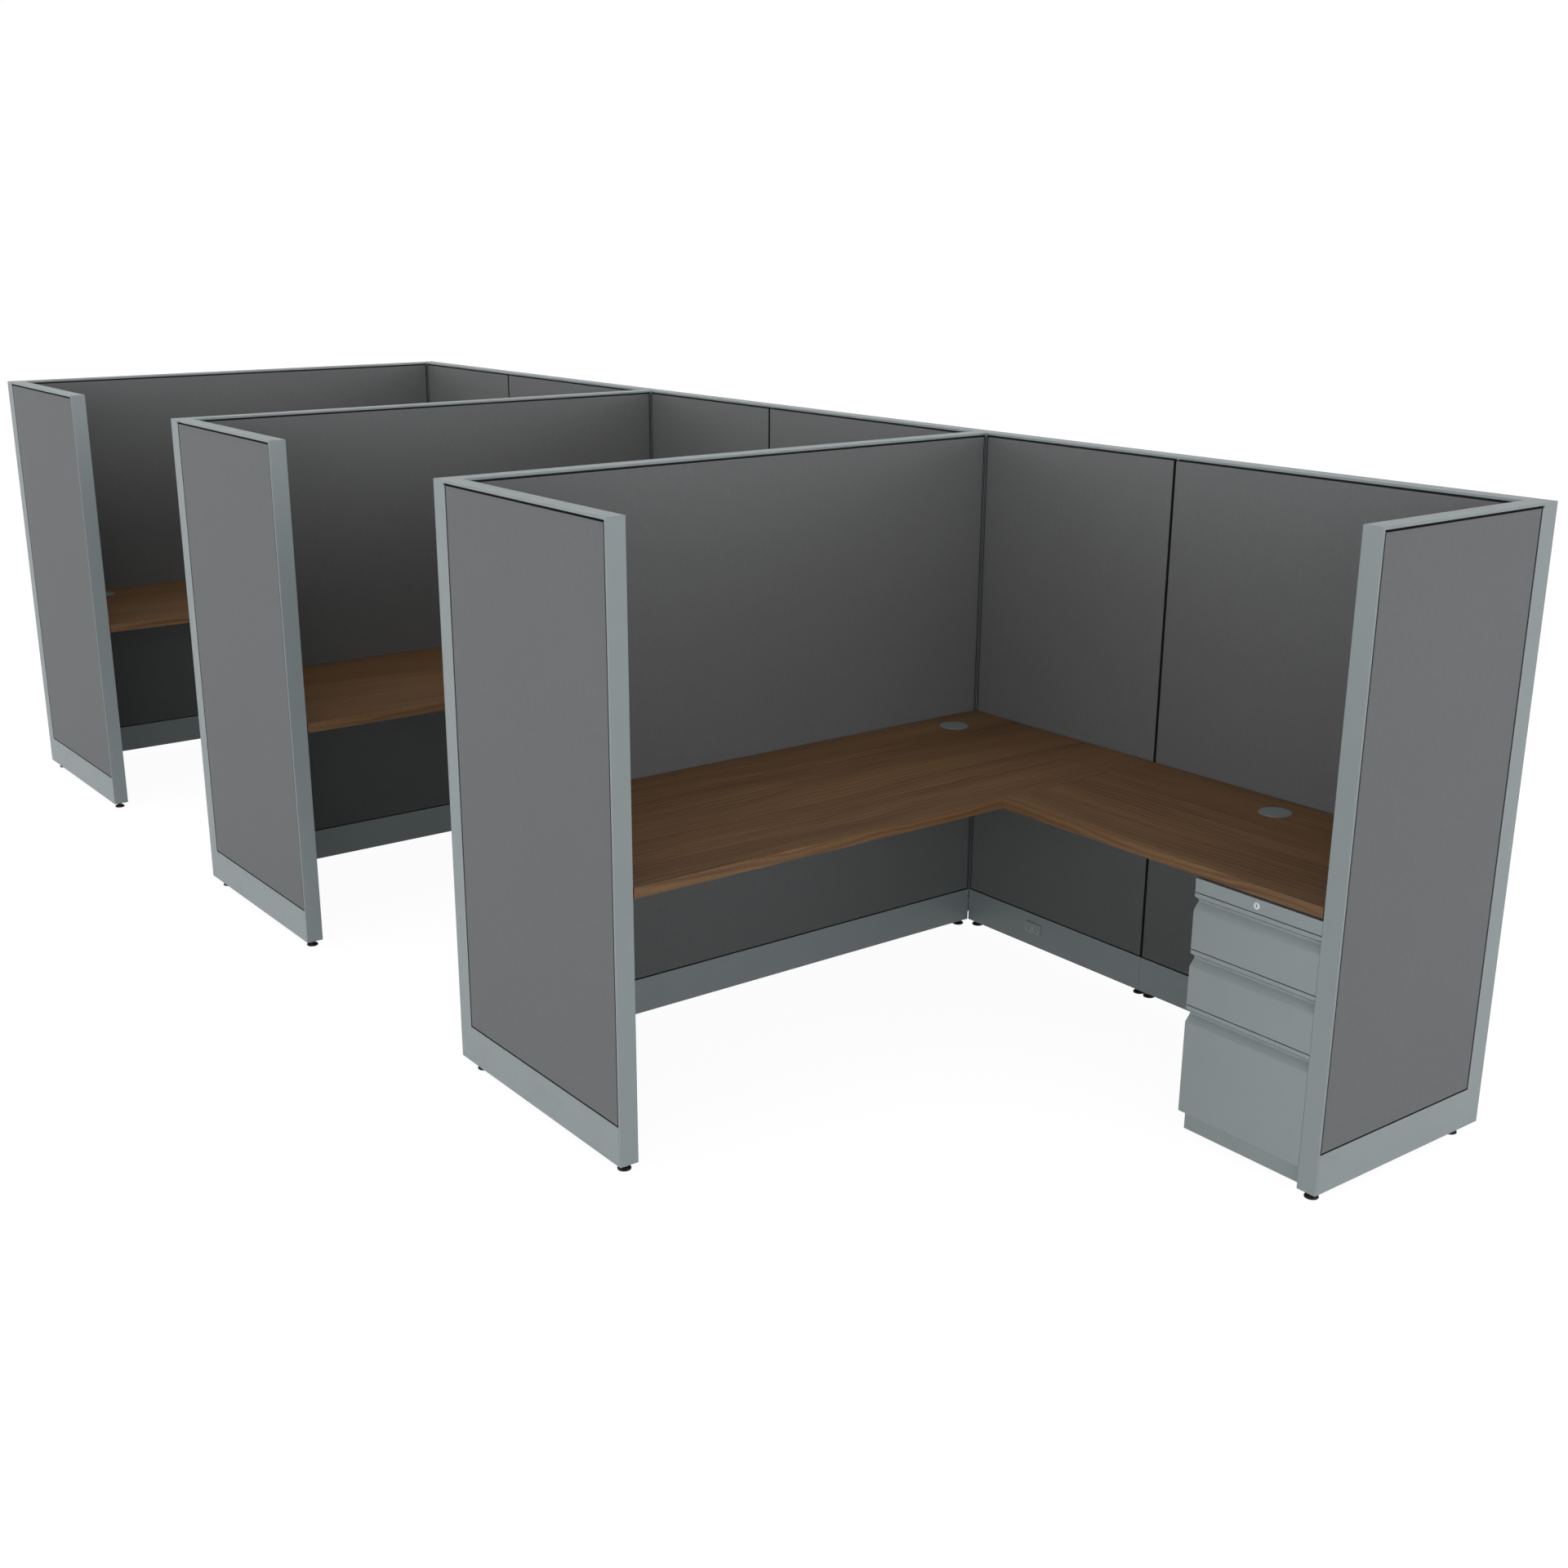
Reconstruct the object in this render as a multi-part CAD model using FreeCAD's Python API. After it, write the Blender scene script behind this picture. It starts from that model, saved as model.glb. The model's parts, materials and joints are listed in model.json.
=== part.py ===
"""A run of three cubicle workstations: one long spine of fabric panels, a partition and a short wing for
each bay, and a return panel at the right-hand end.

Each bay has an L-shaped worksurface with wire grommets, and a pedestal with two box drawers and a file
drawer.
+X runs along the spine, +Y points at its outer side, +Z is up. The origin is on the floor, in the middle.
Heights are measured from the floor. All lengths are in millimetres and all angles in degrees.
"""

import FreeCAD
import Part
import math
import os

# Plan of the run
bay_count = 3
bay_width = 1828.8
bay_depth = 1828.8
spine_seam = 762.0
wing_length = 762.0
return_length = 609.6
panel_thickness = 54.0

# Heights of a panel
glide_height = 20.0
panel_height = 1615.0
raceway_height = 107.5
base_reveal = 3.8
cap_reveal = 6.0

# Steel frame inside a panel
frame_depth = 25.0
stile_width = 40.0
rail_height = 25.0
tube_wall = 1.5
slot_pitch = 50.8
slot_width = 2.6
slot_height = 20.0
slot_margin = 40.0
core_clearance = 0.5

# Fabric tiles and the clips behind them
tile_thickness = 13.0
tile_edge_radius = 1.2
tile_clip_thickness = 1.0
tile_clip_width = 20.0
tile_clip_height = 30.0
tile_clip_margin = 60.0
tile_side_reveal = 3.0
seam_half_gap = 4.5
seam_slot_offset = 3.0

# Posts, caps and trims
post_wall = 2.0
post_tongue = 5.0
cap_height = 6.5
cap_wall = 2.5
trim_edge_radius = 1.5
cap_leg = 1.5
cap_leg_clearance = 0.6
end_trim_thickness = 5.2

# Raceway covers
cover_sheet = 1.2
cover_lip = 8.0
cover_corner_gap = 1.8
cover_trim_gap = 0.8
cover_seam_gap = 0.4

# Glides under the panels and the pedestals
glide_radius = 18.0
glide_pad = 8.0
glide_pad_fillet = 3.0
glide_stem_radius = 5.0
glide_stem_top = 50.0
glide_thread_clearance = 0.1
glide_insert_height = 12.0
pedestal_glide_radius = 15.0
pedestal_glide_pad = 6.0
pedestal_glide_fillet = 2.0
pedestal_glide_stem_radius = 4.0
pedestal_glide_stem_top = 34.0
pedestal_glide_inset = 45.0

# Bolts and plates that join the frames
bolt_radius = 4.0
bolt_clearance = 0.5
bolt_head_flats = 13.0
bolt_head_height = 5.3
bolt_nut_height = 6.5
bolt_tail = 2.0
bolt_inset = 90.0
plate_thickness = 2.5
plate_width = 24.0
plate_arm = 70.0
plate_screw_inset = 55.0
plate_screw_radius = 3.0
plate_screw_length = 12.0

# Outlet and power feed in the spine's raceway
outlet_x = 307.0
outlet_z = 82.0
outlet_width = 68.0
outlet_height = 35.0
outlet_proud = 5.0
outlet_corner_radius = 4.0
outlet_body_inset = 3.0
outlet_face_spacing = 34.0
outlet_slot_width = 2.0
outlet_slot_length = 8.0
outlet_slot_spread = 6.4
outlet_slot_rise = 3.5
outlet_ground_radius = 2.4
outlet_ground_drop = 6.5
outlet_slot_depth = 10.0
power_block_length = 120.0
power_block_height = 40.0
power_block_rear = 14.5
conduit_thickness = 9.0
conduit_height = 20.0
conduit_tail = 70.0

# Worksurfaces
worksurface_top = 747.0
worksurface_thickness = 28.5
worksurface_gap = 3.5
main_depth = 762.0
side_depth = 609.6
edge_band = 2.0
edge_band_radius = 1.0

# Grommets
grommet_flange_radius = 44.5
grommet_flange = 2.0
grommet_seat_floor = 1.0
grommet_seat_radius = 41.0
grommet_tube_radius = 39.7
grommet_bore_radius = 37.5
grommet_hole_radius = 40.0
grommet_clearance = 0.3
grommet_tab_drop = 12.0
grommet_tab_width = 12.0
grommet_tab_thickness = 1.5
grommet_edge_radius = 0.8
main_grommet_x = 108.0
main_grommet_inset = 195.0
side_grommet_x = 1292.0
side_grommet_inset = 115.0

# Brackets and rails under the worksurfaces
bracket_sheet = 2.0
bracket_reach = 560.0
bracket_root = 130.0
bracket_tip = 35.0
bracket_root_flat = 60.0
bracket_flange = 25.0
bracket_flange_start = 20.0
bracket_hooks = 2
hook_margin = 8.0
hook_neck = 14.0
hook_tail = 6.0
hook_thickness = 3.0
angle_leg = 38.0
angle_sheet = 2.5
angle_lip = 5.5
angle_tab_drop = 95.0
angle_tab_reach = 28.0
stiffener_width = 40.0
stiffener_height = 25.0
stiffener_sheet = 2.0
stiffener_offset = 120.0
stiffener_end_gap = 250.0
joint_plate_length = 120.0
joint_plate_width = 60.0
joint_plate_inset = 160.0
screw_radius = 2.25
screw_clearance = 0.5
screw_grip = 14.0
screw_head_radius = 4.5
screw_head_height = 2.5
screw_margin = 15.0
bracket_screw_count = 3
rail_screw_count = 4

# Pedestal case
pedestal_width = 378.0
pedestal_depth = 580.0
pedestal_height = 712.0
pedestal_side_gap = 1.0
pedestal_sheet = 1.5
pedestal_base_height = 76.0
pedestal_foot_gap = 17.0
plinth_recess = 28.0
lock_rail_height = 36.0
front_depth = 25.0
front_gap = 2.5
front_bumper = 0.8
pad_radius = 12.5
pad_inset = 60.0

# Drawer fronts: a lip, a full-width finger pull below it, and a flat face
box_front_height = 149.0
front_sheet = 1.5
front_lip = 9.5
pull_depth = 20.0
pull_drop = 13.0
pull_flare = 23.0
pull_radius = 6.0
flare_radius = 8.0
front_edge_radius = 1.0

# Drawer boxes
drawer_sheet = 1.2
drawer_side_space = 12.7
drawer_box_depth = 520.0
drawer_box_lift = 14.0
box_drawer_height = 98.0
file_drawer_height = 235.0
file_rail_width = 6.0
file_rail_height = 12.0

# Drawer slides
slide_length = 500.0
slide_sheet = 1.2
slide_clearance = 0.4
slide_setback = 6.0
box_slide_height = 35.3
file_slide_height = 45.7
slide_lip = 8.5

# Lock
lock_radius = 9.5
lock_clearance = 0.3
lock_proud = 2.0
lock_edge_radius = 0.8
lock_length = 30.0
lock_drop = 17.0
keyway_width = 2.2
keyway_height = 9.0
keyway_depth = 4.0
lock_rod_radius = 3.0
crank_radius = 10.0
crank_half_width = 4.0
crank_thickness = 2.5
crank_pin_radius = 2.5
crank_pin_length = 7.0
lock_bar_offset = 4.0
lock_bar_half_width = 18.0
lock_bar_thickness = 2.5
lock_bar_slot = 10.0
lock_bar_head = 8.0
lock_bar_tail = 5.0
lock_bar_drop = 10.0
lock_hook_half_width = 6.0
lock_hook_sheet = 2.0
lock_hook_drop = 8.0
lock_hook_reach = 6.0
lock_hook_gap = 0.5
bar_guide_margin = 4.0
bar_guide_height = 12.0
bar_guide_below = 60.0

# Cutting tools run this far past what they cut, and edges are found to within the tolerance
overrun = 1.0
tolerance = 0.001

# Heights and places that follow
half_panel = panel_thickness / 2
half_frame = frame_depth / 2
frame_bottom = glide_height
panel_top = frame_bottom + panel_height
cap_bottom = panel_top - cap_height
frame_top = panel_top - cap_wall - plate_thickness
raceway_top = frame_bottom + raceway_height
tile_bottom = raceway_top + base_reveal
tile_top = cap_bottom - cap_reveal
tile_back = half_frame + tile_clip_thickness
tile_face = tile_back + tile_thickness
post_slot_offset = post_tongue + tile_side_reveal / 2
worksurface_bottom = worksurface_top - worksurface_thickness
bay_pitch = bay_width + panel_thickness
run_length = bay_count * bay_pitch + panel_thickness
run_depth = panel_thickness + bay_depth + panel_thickness
spine_face = run_depth / 2 - panel_thickness
wing_face = spine_face - bay_depth
main_edge = worksurface_gap + main_depth
side_edge = worksurface_gap + side_depth
side_end = bay_width - worksurface_gap
pedestal_x = bay_width - pedestal_side_gap - pedestal_width
pedestal_front = spine_face - side_edge
pedestal_back = front_depth + front_bumper
lock_rail_bottom = pedestal_height - lock_rail_height
file_front_height = lock_rail_bottom - pedestal_base_height - 2 * box_front_height - 3 * front_gap
bay_letters = "abc"


def block(x0, x1, y0, y1, z0, z1):
    """A box between two corners."""
    return Part.makeBox(x1 - x0, y1 - y0, z1 - z0, FreeCAD.Vector(x0, y0, z0))


def disc(radius, x, y, z0, z1):
    """An upright cylinder."""
    return Part.makeCylinder(radius, z1 - z0, FreeCAD.Vector(x, y, z0), FreeCAD.Vector(0, 0, 1))


def prism(points, along):
    """A flat outline, pushed along a vector."""
    wire = Part.makePolygon(points + points[:1])
    return Part.Face(wire).extrude(along)


def hexagon(flats, u0, u1, z):
    """A six-sided bar along X, standing on a corner."""
    radius = flats / math.sqrt(3)
    corners = [math.radians(60 * i) for i in range(6)]
    points = [FreeCAD.Vector(u0, radius * math.sin(a), z + radius * math.cos(a)) for a in corners]
    return prism(points, FreeCAD.Vector(u1 - u0, 0, 0))


def rounded(shape, radius, chosen):
    """The shape with the edges that pass a test rounded off."""
    edges = [e for e in shape.Edges if chosen(e.BoundBox)]
    return shape.makeFillet(radius, edges) if edges else shape


def at(value, place):
    """True where a bound lies at a place."""
    return abs(value - place) < tolerance


def moved(shape, x, y, angle=0):
    """A copy of the shape, turned about Z and carried to a place."""
    copy = shape.copy()
    turn = FreeCAD.Rotation(FreeCAD.Vector(0, 0, 1), angle)
    copy.Placement = FreeCAD.Placement(FreeCAD.Vector(x, y, 0), turn).multiply(copy.Placement)
    return copy


def mirrored_x(shape, x):
    """The shape mirrored in an upright plane across X."""
    return shape.mirror(FreeCAD.Vector(x, 0, 0), FreeCAD.Vector(1, 0, 0))


def mirrored_y(shape, y):
    """The shape mirrored in an upright plane across Y."""
    return shape.mirror(FreeCAD.Vector(0, y, 0), FreeCAD.Vector(0, 1, 0))


class Run:
    """One panel: where it starts, which way it goes, what is at each end, and which corners face a bay.

    Shapes are made with the panel's length along X, and are then carried to its place in the run.
    """

    def __init__(self, x, y, angle, length, start, end, inner, outlet=False):
        self.x = x
        self.y = y
        self.angle = angle
        self.length = length
        self.start = start
        self.end = end
        self.inner = inner
        self.outlet = outlet

    def placed(self, shapes):
        """The shapes, carried from the panel's own frame to the run's."""
        return [moved(s, self.x, self.y, self.angle) for s in shapes]

    def ends(self):
        """What is at each end, with a function that carries a shape from the start to that end."""
        return [(self.start, lambda s: s), (self.end, lambda s: mirrored_x(s, self.length / 2))]


def bay_left(k):
    """The face of partition k that its bay sees."""
    return -run_length / 2 + k * bay_pitch + panel_thickness


def panel_runs():
    """Every panel of the run."""
    runs = []
    spine_line = spine_face + half_panel
    wing_line = wing_face - half_panel
    for k in range(bay_count):
        x = bay_left(k)
        long_spine = bay_width - spine_seam
        runs.append(Run(x, spine_line, 0, spine_seam, "post", "seam", {(-1, 0)}, outlet=True))
        runs.append(Run(x + spine_seam, spine_line, 0, long_spine, "seam", "post", {(-1, 1)}))
        inner = {(1, 0), (1, 1)} | ({(-1, 0)} if k else set())
        runs.append(Run(x - half_panel, spine_face, -90, bay_depth, "post", "post", inner))
        runs.append(Run(x, wing_line, 0, wing_length, "post", "trim", {(1, 0)}))
    runs.append(Run(run_length / 2 - half_panel, spine_face, -90, return_length, "post", "trim", {(-1, 0)}))
    return runs


def posts():
    """Each post's centre, with the sides where a panel joins it as (x, y) directions."""
    places = []
    spine_line = spine_face + half_panel
    wing_line = wing_face - half_panel
    for k in range(bay_count):
        x = bay_left(k) - half_panel
        sides = [(1, 0), (0, -1)] + ([(-1, 0)] if k else [])
        places.append((x, spine_line, sides))
        places.append((x, wing_line, [(1, 0), (0, 1)]))
    places.append((run_length / 2 - half_panel, spine_line, [(-1, 0), (0, -1)]))
    return places


def toward(shape, side):
    """The shape, turned from +X to the side given."""
    return moved(shape, 0, 0, math.degrees(math.atan2(side[1], side[0])))


def tube(x0, x1, y0, y1, z0, z1, wall, axis):
    """A rectangular tube along the axis given."""
    inner = [x0 + wall, x1 - wall, y0 + wall, y1 - wall, z0 + wall, z1 - wall]
    low = 2 * "xyz".index(axis)
    inner[low] -= wall + overrun
    inner[low + 1] += wall + overrun
    return block(x0, x1, y0, y1, z0, z1).cut(block(*inner))


def slot_bottoms():
    """The heights of the hanging slots, from the tile's bottom up."""
    first = tile_bottom + slot_margin
    last = tile_top - slot_margin - slot_height
    count = int((last - first) / slot_pitch) + 1
    return [first + i * slot_pitch for i in range(count)]


def slot_offset(kind):
    """How far the slots stand from the end of a panel."""
    return {"post": post_slot_offset, "seam": seam_slot_offset}.get(kind)


def bolt_heights():
    """The heights of the two bolts at each joint."""
    return [tile_bottom + bolt_inset, tile_top - bolt_inset]


def stile(kind):
    """An upright tube with hanging slots and bolt holes, at the start of a panel."""
    shape = tube(0, stile_width, -half_frame, half_frame, frame_bottom, frame_top, tube_wall, "z")
    if kind == "trim":
        return shape
    u = slot_offset(kind)
    reach = half_frame + overrun
    half = slot_width / 2
    cuts = [block(u - half, u + half, -reach, reach, z, z + slot_height) for z in slot_bottoms()]
    cuts += [bolt_hole(z) for z in bolt_heights()]
    return shape.cut(Part.makeCompound(cuts))


def bolt_hole(z):
    """The hole for a bolt through a stile's end wall and what stands against it."""
    start = FreeCAD.Vector(-post_wall - overrun, 0, z)
    length = post_wall + tube_wall + 2 * overrun
    return Part.makeCylinder(bolt_radius + bolt_clearance, length, start, FreeCAD.Vector(1, 0, 0))


def stiles(run):
    """The two uprights of a panel's frame."""
    return [carry(stile(kind)) for kind, carry in run.ends()]


def plate_screw(u):
    """A flush screw through a joining plate into a rail."""
    top = frame_top + plate_thickness
    return disc(plate_screw_radius, u, 0, top - plate_screw_length, top)


def rails(run):
    """The top and bottom rails of a panel's frame."""
    u0 = stile_width
    u1 = run.length - stile_width
    top = tube(u0, u1, -half_frame, half_frame, frame_top - rail_height, frame_top, tube_wall, "x")
    bottom = tube(u0, u1, -half_frame, half_frame, raceway_top - rail_height, raceway_top, tube_wall, "x")
    for kind, carry in run.ends():
        if kind != "trim":
            top = top.cut(carry(plate_screw(plate_screw_inset)))
    return [top, bottom]


def core(run):
    """The board of glass fibre that fills the frame."""
    u0 = stile_width + core_clearance
    v = half_frame - core_clearance
    z0 = raceway_top + core_clearance
    z1 = frame_top - rail_height - core_clearance
    return [block(u0, run.length - u0, -v, v, z0, z1)]


def tile_span(run):
    """Where the tiles of a panel start and end."""
    margin = {"post": post_tongue + tile_side_reveal, "seam": seam_half_gap, "trim": tile_side_reveal}
    return margin[run.start], run.length - margin[run.end]


def tiles(run):
    """The two fabric-covered tiles of a panel, with their front edges rounded."""
    u0, u1 = tile_span(run)
    tile = block(u0, u1, tile_back, tile_face, tile_bottom, tile_top)
    tile = rounded(tile, tile_edge_radius, lambda b: at(b.YMin, tile_face) and at(b.YMax, tile_face))
    return [tile, mirrored_y(tile, 0)]


def tile_clips(run):
    """Four spring clips behind each tile."""
    u = (stile_width + post_slot_offset - tile_clip_width) / 2 + slot_width
    clips = []
    for z in (tile_bottom + tile_clip_margin, tile_top - tile_clip_margin - tile_clip_height):
        clip = block(u, u + tile_clip_width, half_frame, tile_back, z, z + tile_clip_height)
        for side in (clip, mirrored_y(clip, 0)):
            clips += [side, mirrored_x(side, run.length / 2)]
    return clips


def cover(run, side):
    """The raceway cover on one side: a sheet with a lip on to the frame and a lip below."""
    gaps = []
    for end, kind in enumerate((run.start, run.end)):
        corner_gap = cover_corner_gap if (side, end) in run.inner else 0
        gaps.append({"trim": cover_trim_gap, "seam": cover_seam_gap}.get(kind, corner_gap))
    u0 = gaps[0]
    u1 = run.length - gaps[1]
    z0 = frame_bottom
    sheet = block(u0, u1, half_panel - cover_sheet, half_panel, z0, raceway_top)
    top_lip = block(u0, u1, half_frame, half_panel, raceway_top - cover_sheet, raceway_top)
    low_lip = block(u0, u1, half_panel - cover_lip, half_panel, z0, z0 + cover_sheet)
    shape = sheet.fuse([top_lip, low_lip]).removeSplitter()
    if side < 0:
        shape = mirrored_y(shape, 0)
    if run.outlet and side < 0:
        shape = shape.cut(outlet_body(overrun))
    return shape


def covers(run):
    """The raceway covers on both sides of a panel."""
    return [cover(run, 1), cover(run, -1)]


def panel_cap(run):
    """The cap along the top: two sides, and two legs that grip the rail."""
    closed = run.end == "trim"
    end = run.length + (end_trim_thickness if closed else 0)
    outer = block(0, end, -half_panel, half_panel, cap_bottom, panel_top)

    def outside(b):
        along = at(b.ZMin, panel_top) and at(b.YMin, b.YMax)
        round_end = closed and at(b.XMin, end) and (at(b.ZMin, panel_top) or at(b.YMin, b.YMax))
        return along or round_end

    outer = rounded(outer, trim_edge_radius, outside)
    leg_top = panel_top - cap_wall
    inside = half_panel - cap_wall
    hollow_end = run.length if closed else end + overrun
    hollow = block(-overrun, hollow_end, -inside, inside, cap_bottom - overrun, leg_top)
    leg = block(0, run.length, half_frame, half_frame + cap_leg, tile_top + cap_leg_clearance, leg_top)
    return [outer.cut(hollow).fuse([leg, mirrored_y(leg, 0)]).removeSplitter()]


def end_trim(run):
    """The full-height trim that closes a panel's free end."""
    if run.end != "trim":
        return []
    u0 = run.length
    u1 = u0 + end_trim_thickness
    trim = block(u0, u1, -half_panel, half_panel, frame_bottom, cap_bottom)
    return [rounded(trim, trim_edge_radius, lambda b: at(b.XMin, u1) and at(b.YMin, b.YMax))]


def glide(radius, pad, fillet, stem_radius, stem_top, x, y):
    """A levelling glide: a domed pad on the floor with a threaded stem."""
    foot = disc(radius, x, y, 0, pad)
    foot = rounded(foot, fillet, lambda b: at(b.ZMin, pad))
    return foot.fuse(disc(stem_radius, x, y, pad, stem_top)).removeSplitter()


def panel_glides(run):
    """A glide under each stile."""
    u = stile_width / 2
    foot = glide(glide_radius, glide_pad, glide_pad_fillet, glide_stem_radius, glide_stem_top, u, 0)
    return [foot, mirrored_x(foot, run.length / 2)]


def glide_inserts(run):
    """The threaded plugs in the stiles' lower ends."""
    inside = half_frame - tube_wall
    plug = block(tube_wall, stile_width - tube_wall, -inside, inside, frame_bottom,
                 frame_bottom + glide_insert_height)
    thread = glide_stem_radius + glide_thread_clearance
    plug = plug.cut(disc(thread, stile_width / 2, 0, 0, glide_stem_top))
    return [plug, mirrored_x(plug, run.length / 2)]


def joint_bolts(run):
    """Bolts, nuts and flush screws at the ends of a panel, each seam's from one side alone."""
    pieces = []
    for end, (kind, carry) in enumerate(run.ends()):
        if kind == "trim" or (kind == "seam" and end == 1):
            wanted = [] if kind == "trim" else [plate_screw(plate_screw_inset)]
            pieces += [carry(s) for s in wanted]
            continue
        wall = post_wall if kind == "post" else tube_wall
        for z in bolt_heights():
            pieces += [carry(s) for s in bolt_and_nut(wall, z)]
        pieces.append(carry(plate_screw(plate_screw_inset)))
    return pieces


def bolt_and_nut(wall, z):
    """A bolt with its head inside the stile, and its nut behind the wall that it draws up to."""
    along = FreeCAD.Vector(1, 0, 0)
    tail = wall + bolt_nut_height + bolt_tail
    shank = Part.makeCylinder(bolt_radius, tail + tube_wall, FreeCAD.Vector(-tail, 0, z), along)
    head = hexagon(bolt_head_flats, tube_wall, tube_wall + bolt_head_height, z)
    nut = hexagon(bolt_head_flats, -wall - bolt_nut_height, -wall, z)
    return [shank.fuse(head).removeSplitter(), nut.cut(shank)]


def post(sides):
    """A square post with a tongue each side of every panel that joins it, and the joints' bolt holes."""
    shape = tube(-half_panel, half_panel, -half_panel, half_panel, raceway_top, cap_bottom, post_wall, "z")
    tongue = block(half_panel, half_panel + post_tongue, half_frame, half_panel, raceway_top, tile_top)
    tongues = [toward(t, side) for side in sides for t in (tongue, mirrored_y(tongue, 0))]
    hole = [moved(bolt_hole(z), half_panel, 0) for z in bolt_heights()]
    holes = [toward(h, side) for side in sides for h in hole]
    return shape.fuse(tongues).removeSplitter().cut(holes)


def post_cap(sides):
    """The square cap on a post, rounded where no panel's cap meets it."""
    def free(b):
        for x, y in ((1, 0), (-1, 0), (0, 1), (0, -1)):
            level = (b.XMin * x + b.YMin * y, b.XMax * x + b.YMax * y)
            if (x, y) not in sides and at(level[0], half_panel) and at(level[1], half_panel):
                return at(b.ZMin, panel_top)
        return False

    outer = rounded(block(-half_panel, half_panel, -half_panel, half_panel, cap_bottom, panel_top),
                    trim_edge_radius, free)
    inside = half_panel - cap_wall
    low = cap_bottom - overrun
    high = panel_top - cap_wall
    hollow = block(-inside, inside, -inside, inside, low, high)
    half_plate = plate_width / 2 + overrun
    pass_through = block(0, panel_thickness, -half_plate, half_plate, low, high)
    return outer.cut([hollow] + [toward(pass_through, side) for side in sides])


def post_cover(sides):
    """The raceway cover round a post, on the sides where no panel joins it."""
    sheet = block(half_panel - cover_sheet, half_panel, -half_panel, half_panel, frame_bottom, raceway_top)
    free = [side for side in ((1, 0), (-1, 0), (0, 1), (0, -1)) if side not in sides]
    sheets = [toward(sheet, side) for side in free]
    shape = sheets[0]
    for other in sheets[1:]:
        shape = shape.fuse(other)
    return shape.removeSplitter()


def joint_plate(sides):
    """The plate across the frames' tops at a post, with an arm for each panel."""
    half = plate_width / 2
    arm = block(-half, half_panel + plate_arm, -half, half, frame_top, frame_top + plate_thickness)
    hole = moved(plate_screw(plate_screw_inset), half_panel, 0)
    arms = [toward(arm.cut(hole), side) for side in sides]
    return arms[0].fuse(arms[1:]).removeSplitter()


def seam_plate():
    """The straight plate across the frames' tops at a seam."""
    half = plate_width / 2
    plate = block(-plate_arm, plate_arm, -half, half, frame_top, frame_top + plate_thickness)
    screw = plate_screw(plate_screw_inset)
    return plate.cut([screw, mirrored_x(screw, 0)])


def joint_plates():
    """Every joining plate of the run."""
    plates = [moved(joint_plate(sides), x, y) for x, y, sides in posts()]
    for k in range(bay_count):
        plates.append(moved(seam_plate(), bay_left(k) + spine_seam, spine_face + half_panel))
    return plates


def outlet_body(grow=0):
    """The block of an outlet that fills its cut-out, in the short spine panel's frame."""
    half_width = outlet_width / 2 - outlet_body_inset
    half_height = outlet_height / 2 - outlet_body_inset
    return block(outlet_x - half_width, outlet_x + half_width, -half_panel - grow, -tile_back,
                 outlet_z - half_height, outlet_z + half_height)


def outlet_slots(x):
    """The two blade slots and the ground hole of one socket."""
    face = -half_panel - outlet_proud
    back = face + outlet_slot_depth
    half = outlet_slot_length / 2
    low = outlet_z + outlet_slot_rise - half
    cuts = []
    for side in (-1, 1):
        u = x + side * outlet_slot_spread
        cuts.append(block(u - outlet_slot_width / 2, u + outlet_slot_width / 2, face - overrun, back, low,
                          low + outlet_slot_length))
    start = FreeCAD.Vector(x, face - overrun, outlet_z - outlet_ground_drop)
    depth = outlet_slot_depth + overrun
    cuts.append(Part.makeCylinder(outlet_ground_radius, depth, start, FreeCAD.Vector(0, 1, 0)))
    return cuts


def outlet():
    """A duplex outlet that stands a little proud of its cover."""
    half_width = outlet_width / 2
    half_height = outlet_height / 2
    plate = block(outlet_x - half_width, outlet_x + half_width, -half_panel - outlet_proud, -half_panel,
                  outlet_z - half_height, outlet_z + half_height)
    plate = rounded(plate, outlet_corner_radius, lambda b: at(b.XMin, b.XMax) and at(b.ZMin, b.ZMax))
    shape = plate.fuse(outlet_body()).removeSplitter()
    cuts = []
    for side in (-1, 1):
        cuts += outlet_slots(outlet_x + side * outlet_face_spacing / 2)
    return shape.cut(cuts)


def power_feed():
    """The power block behind each outlet, and the conduit that links them along the spine."""
    pieces = []
    line = spine_face + half_panel
    half = power_block_length / 2
    for k in range(bay_count):
        x = bay_left(k) + outlet_x
        pieces.append(block(x - half, x + half, line - tile_back, line + power_block_rear,
                            outlet_z - power_block_height / 2, outlet_z + power_block_height / 2))
    first = bay_left(0) + outlet_x - conduit_tail
    last = bay_left(bay_count - 1) + outlet_x + conduit_tail
    y0 = line + power_block_rear
    pieces.append(block(first, last, y0, y0 + conduit_thickness, outlet_z - conduit_height / 2,
                        outlet_z + conduit_height / 2))
    return pieces


def grommet_places():
    """Each bay's grommets, the main piece's two and then the side piece's."""
    return [(main_grommet_x, -main_grommet_inset), (main_grommet_x, main_grommet_inset - bay_depth),
            (side_grommet_x, -side_grommet_inset)]


def board_spans():
    """The plan of the main and side pieces, as x0, x1, y0, y1 in a bay's frame."""
    main = (worksurface_gap, main_edge, worksurface_gap - bay_depth, -worksurface_gap)
    side = (main_edge, side_end, -side_edge, -worksurface_gap)
    return main, side


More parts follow.
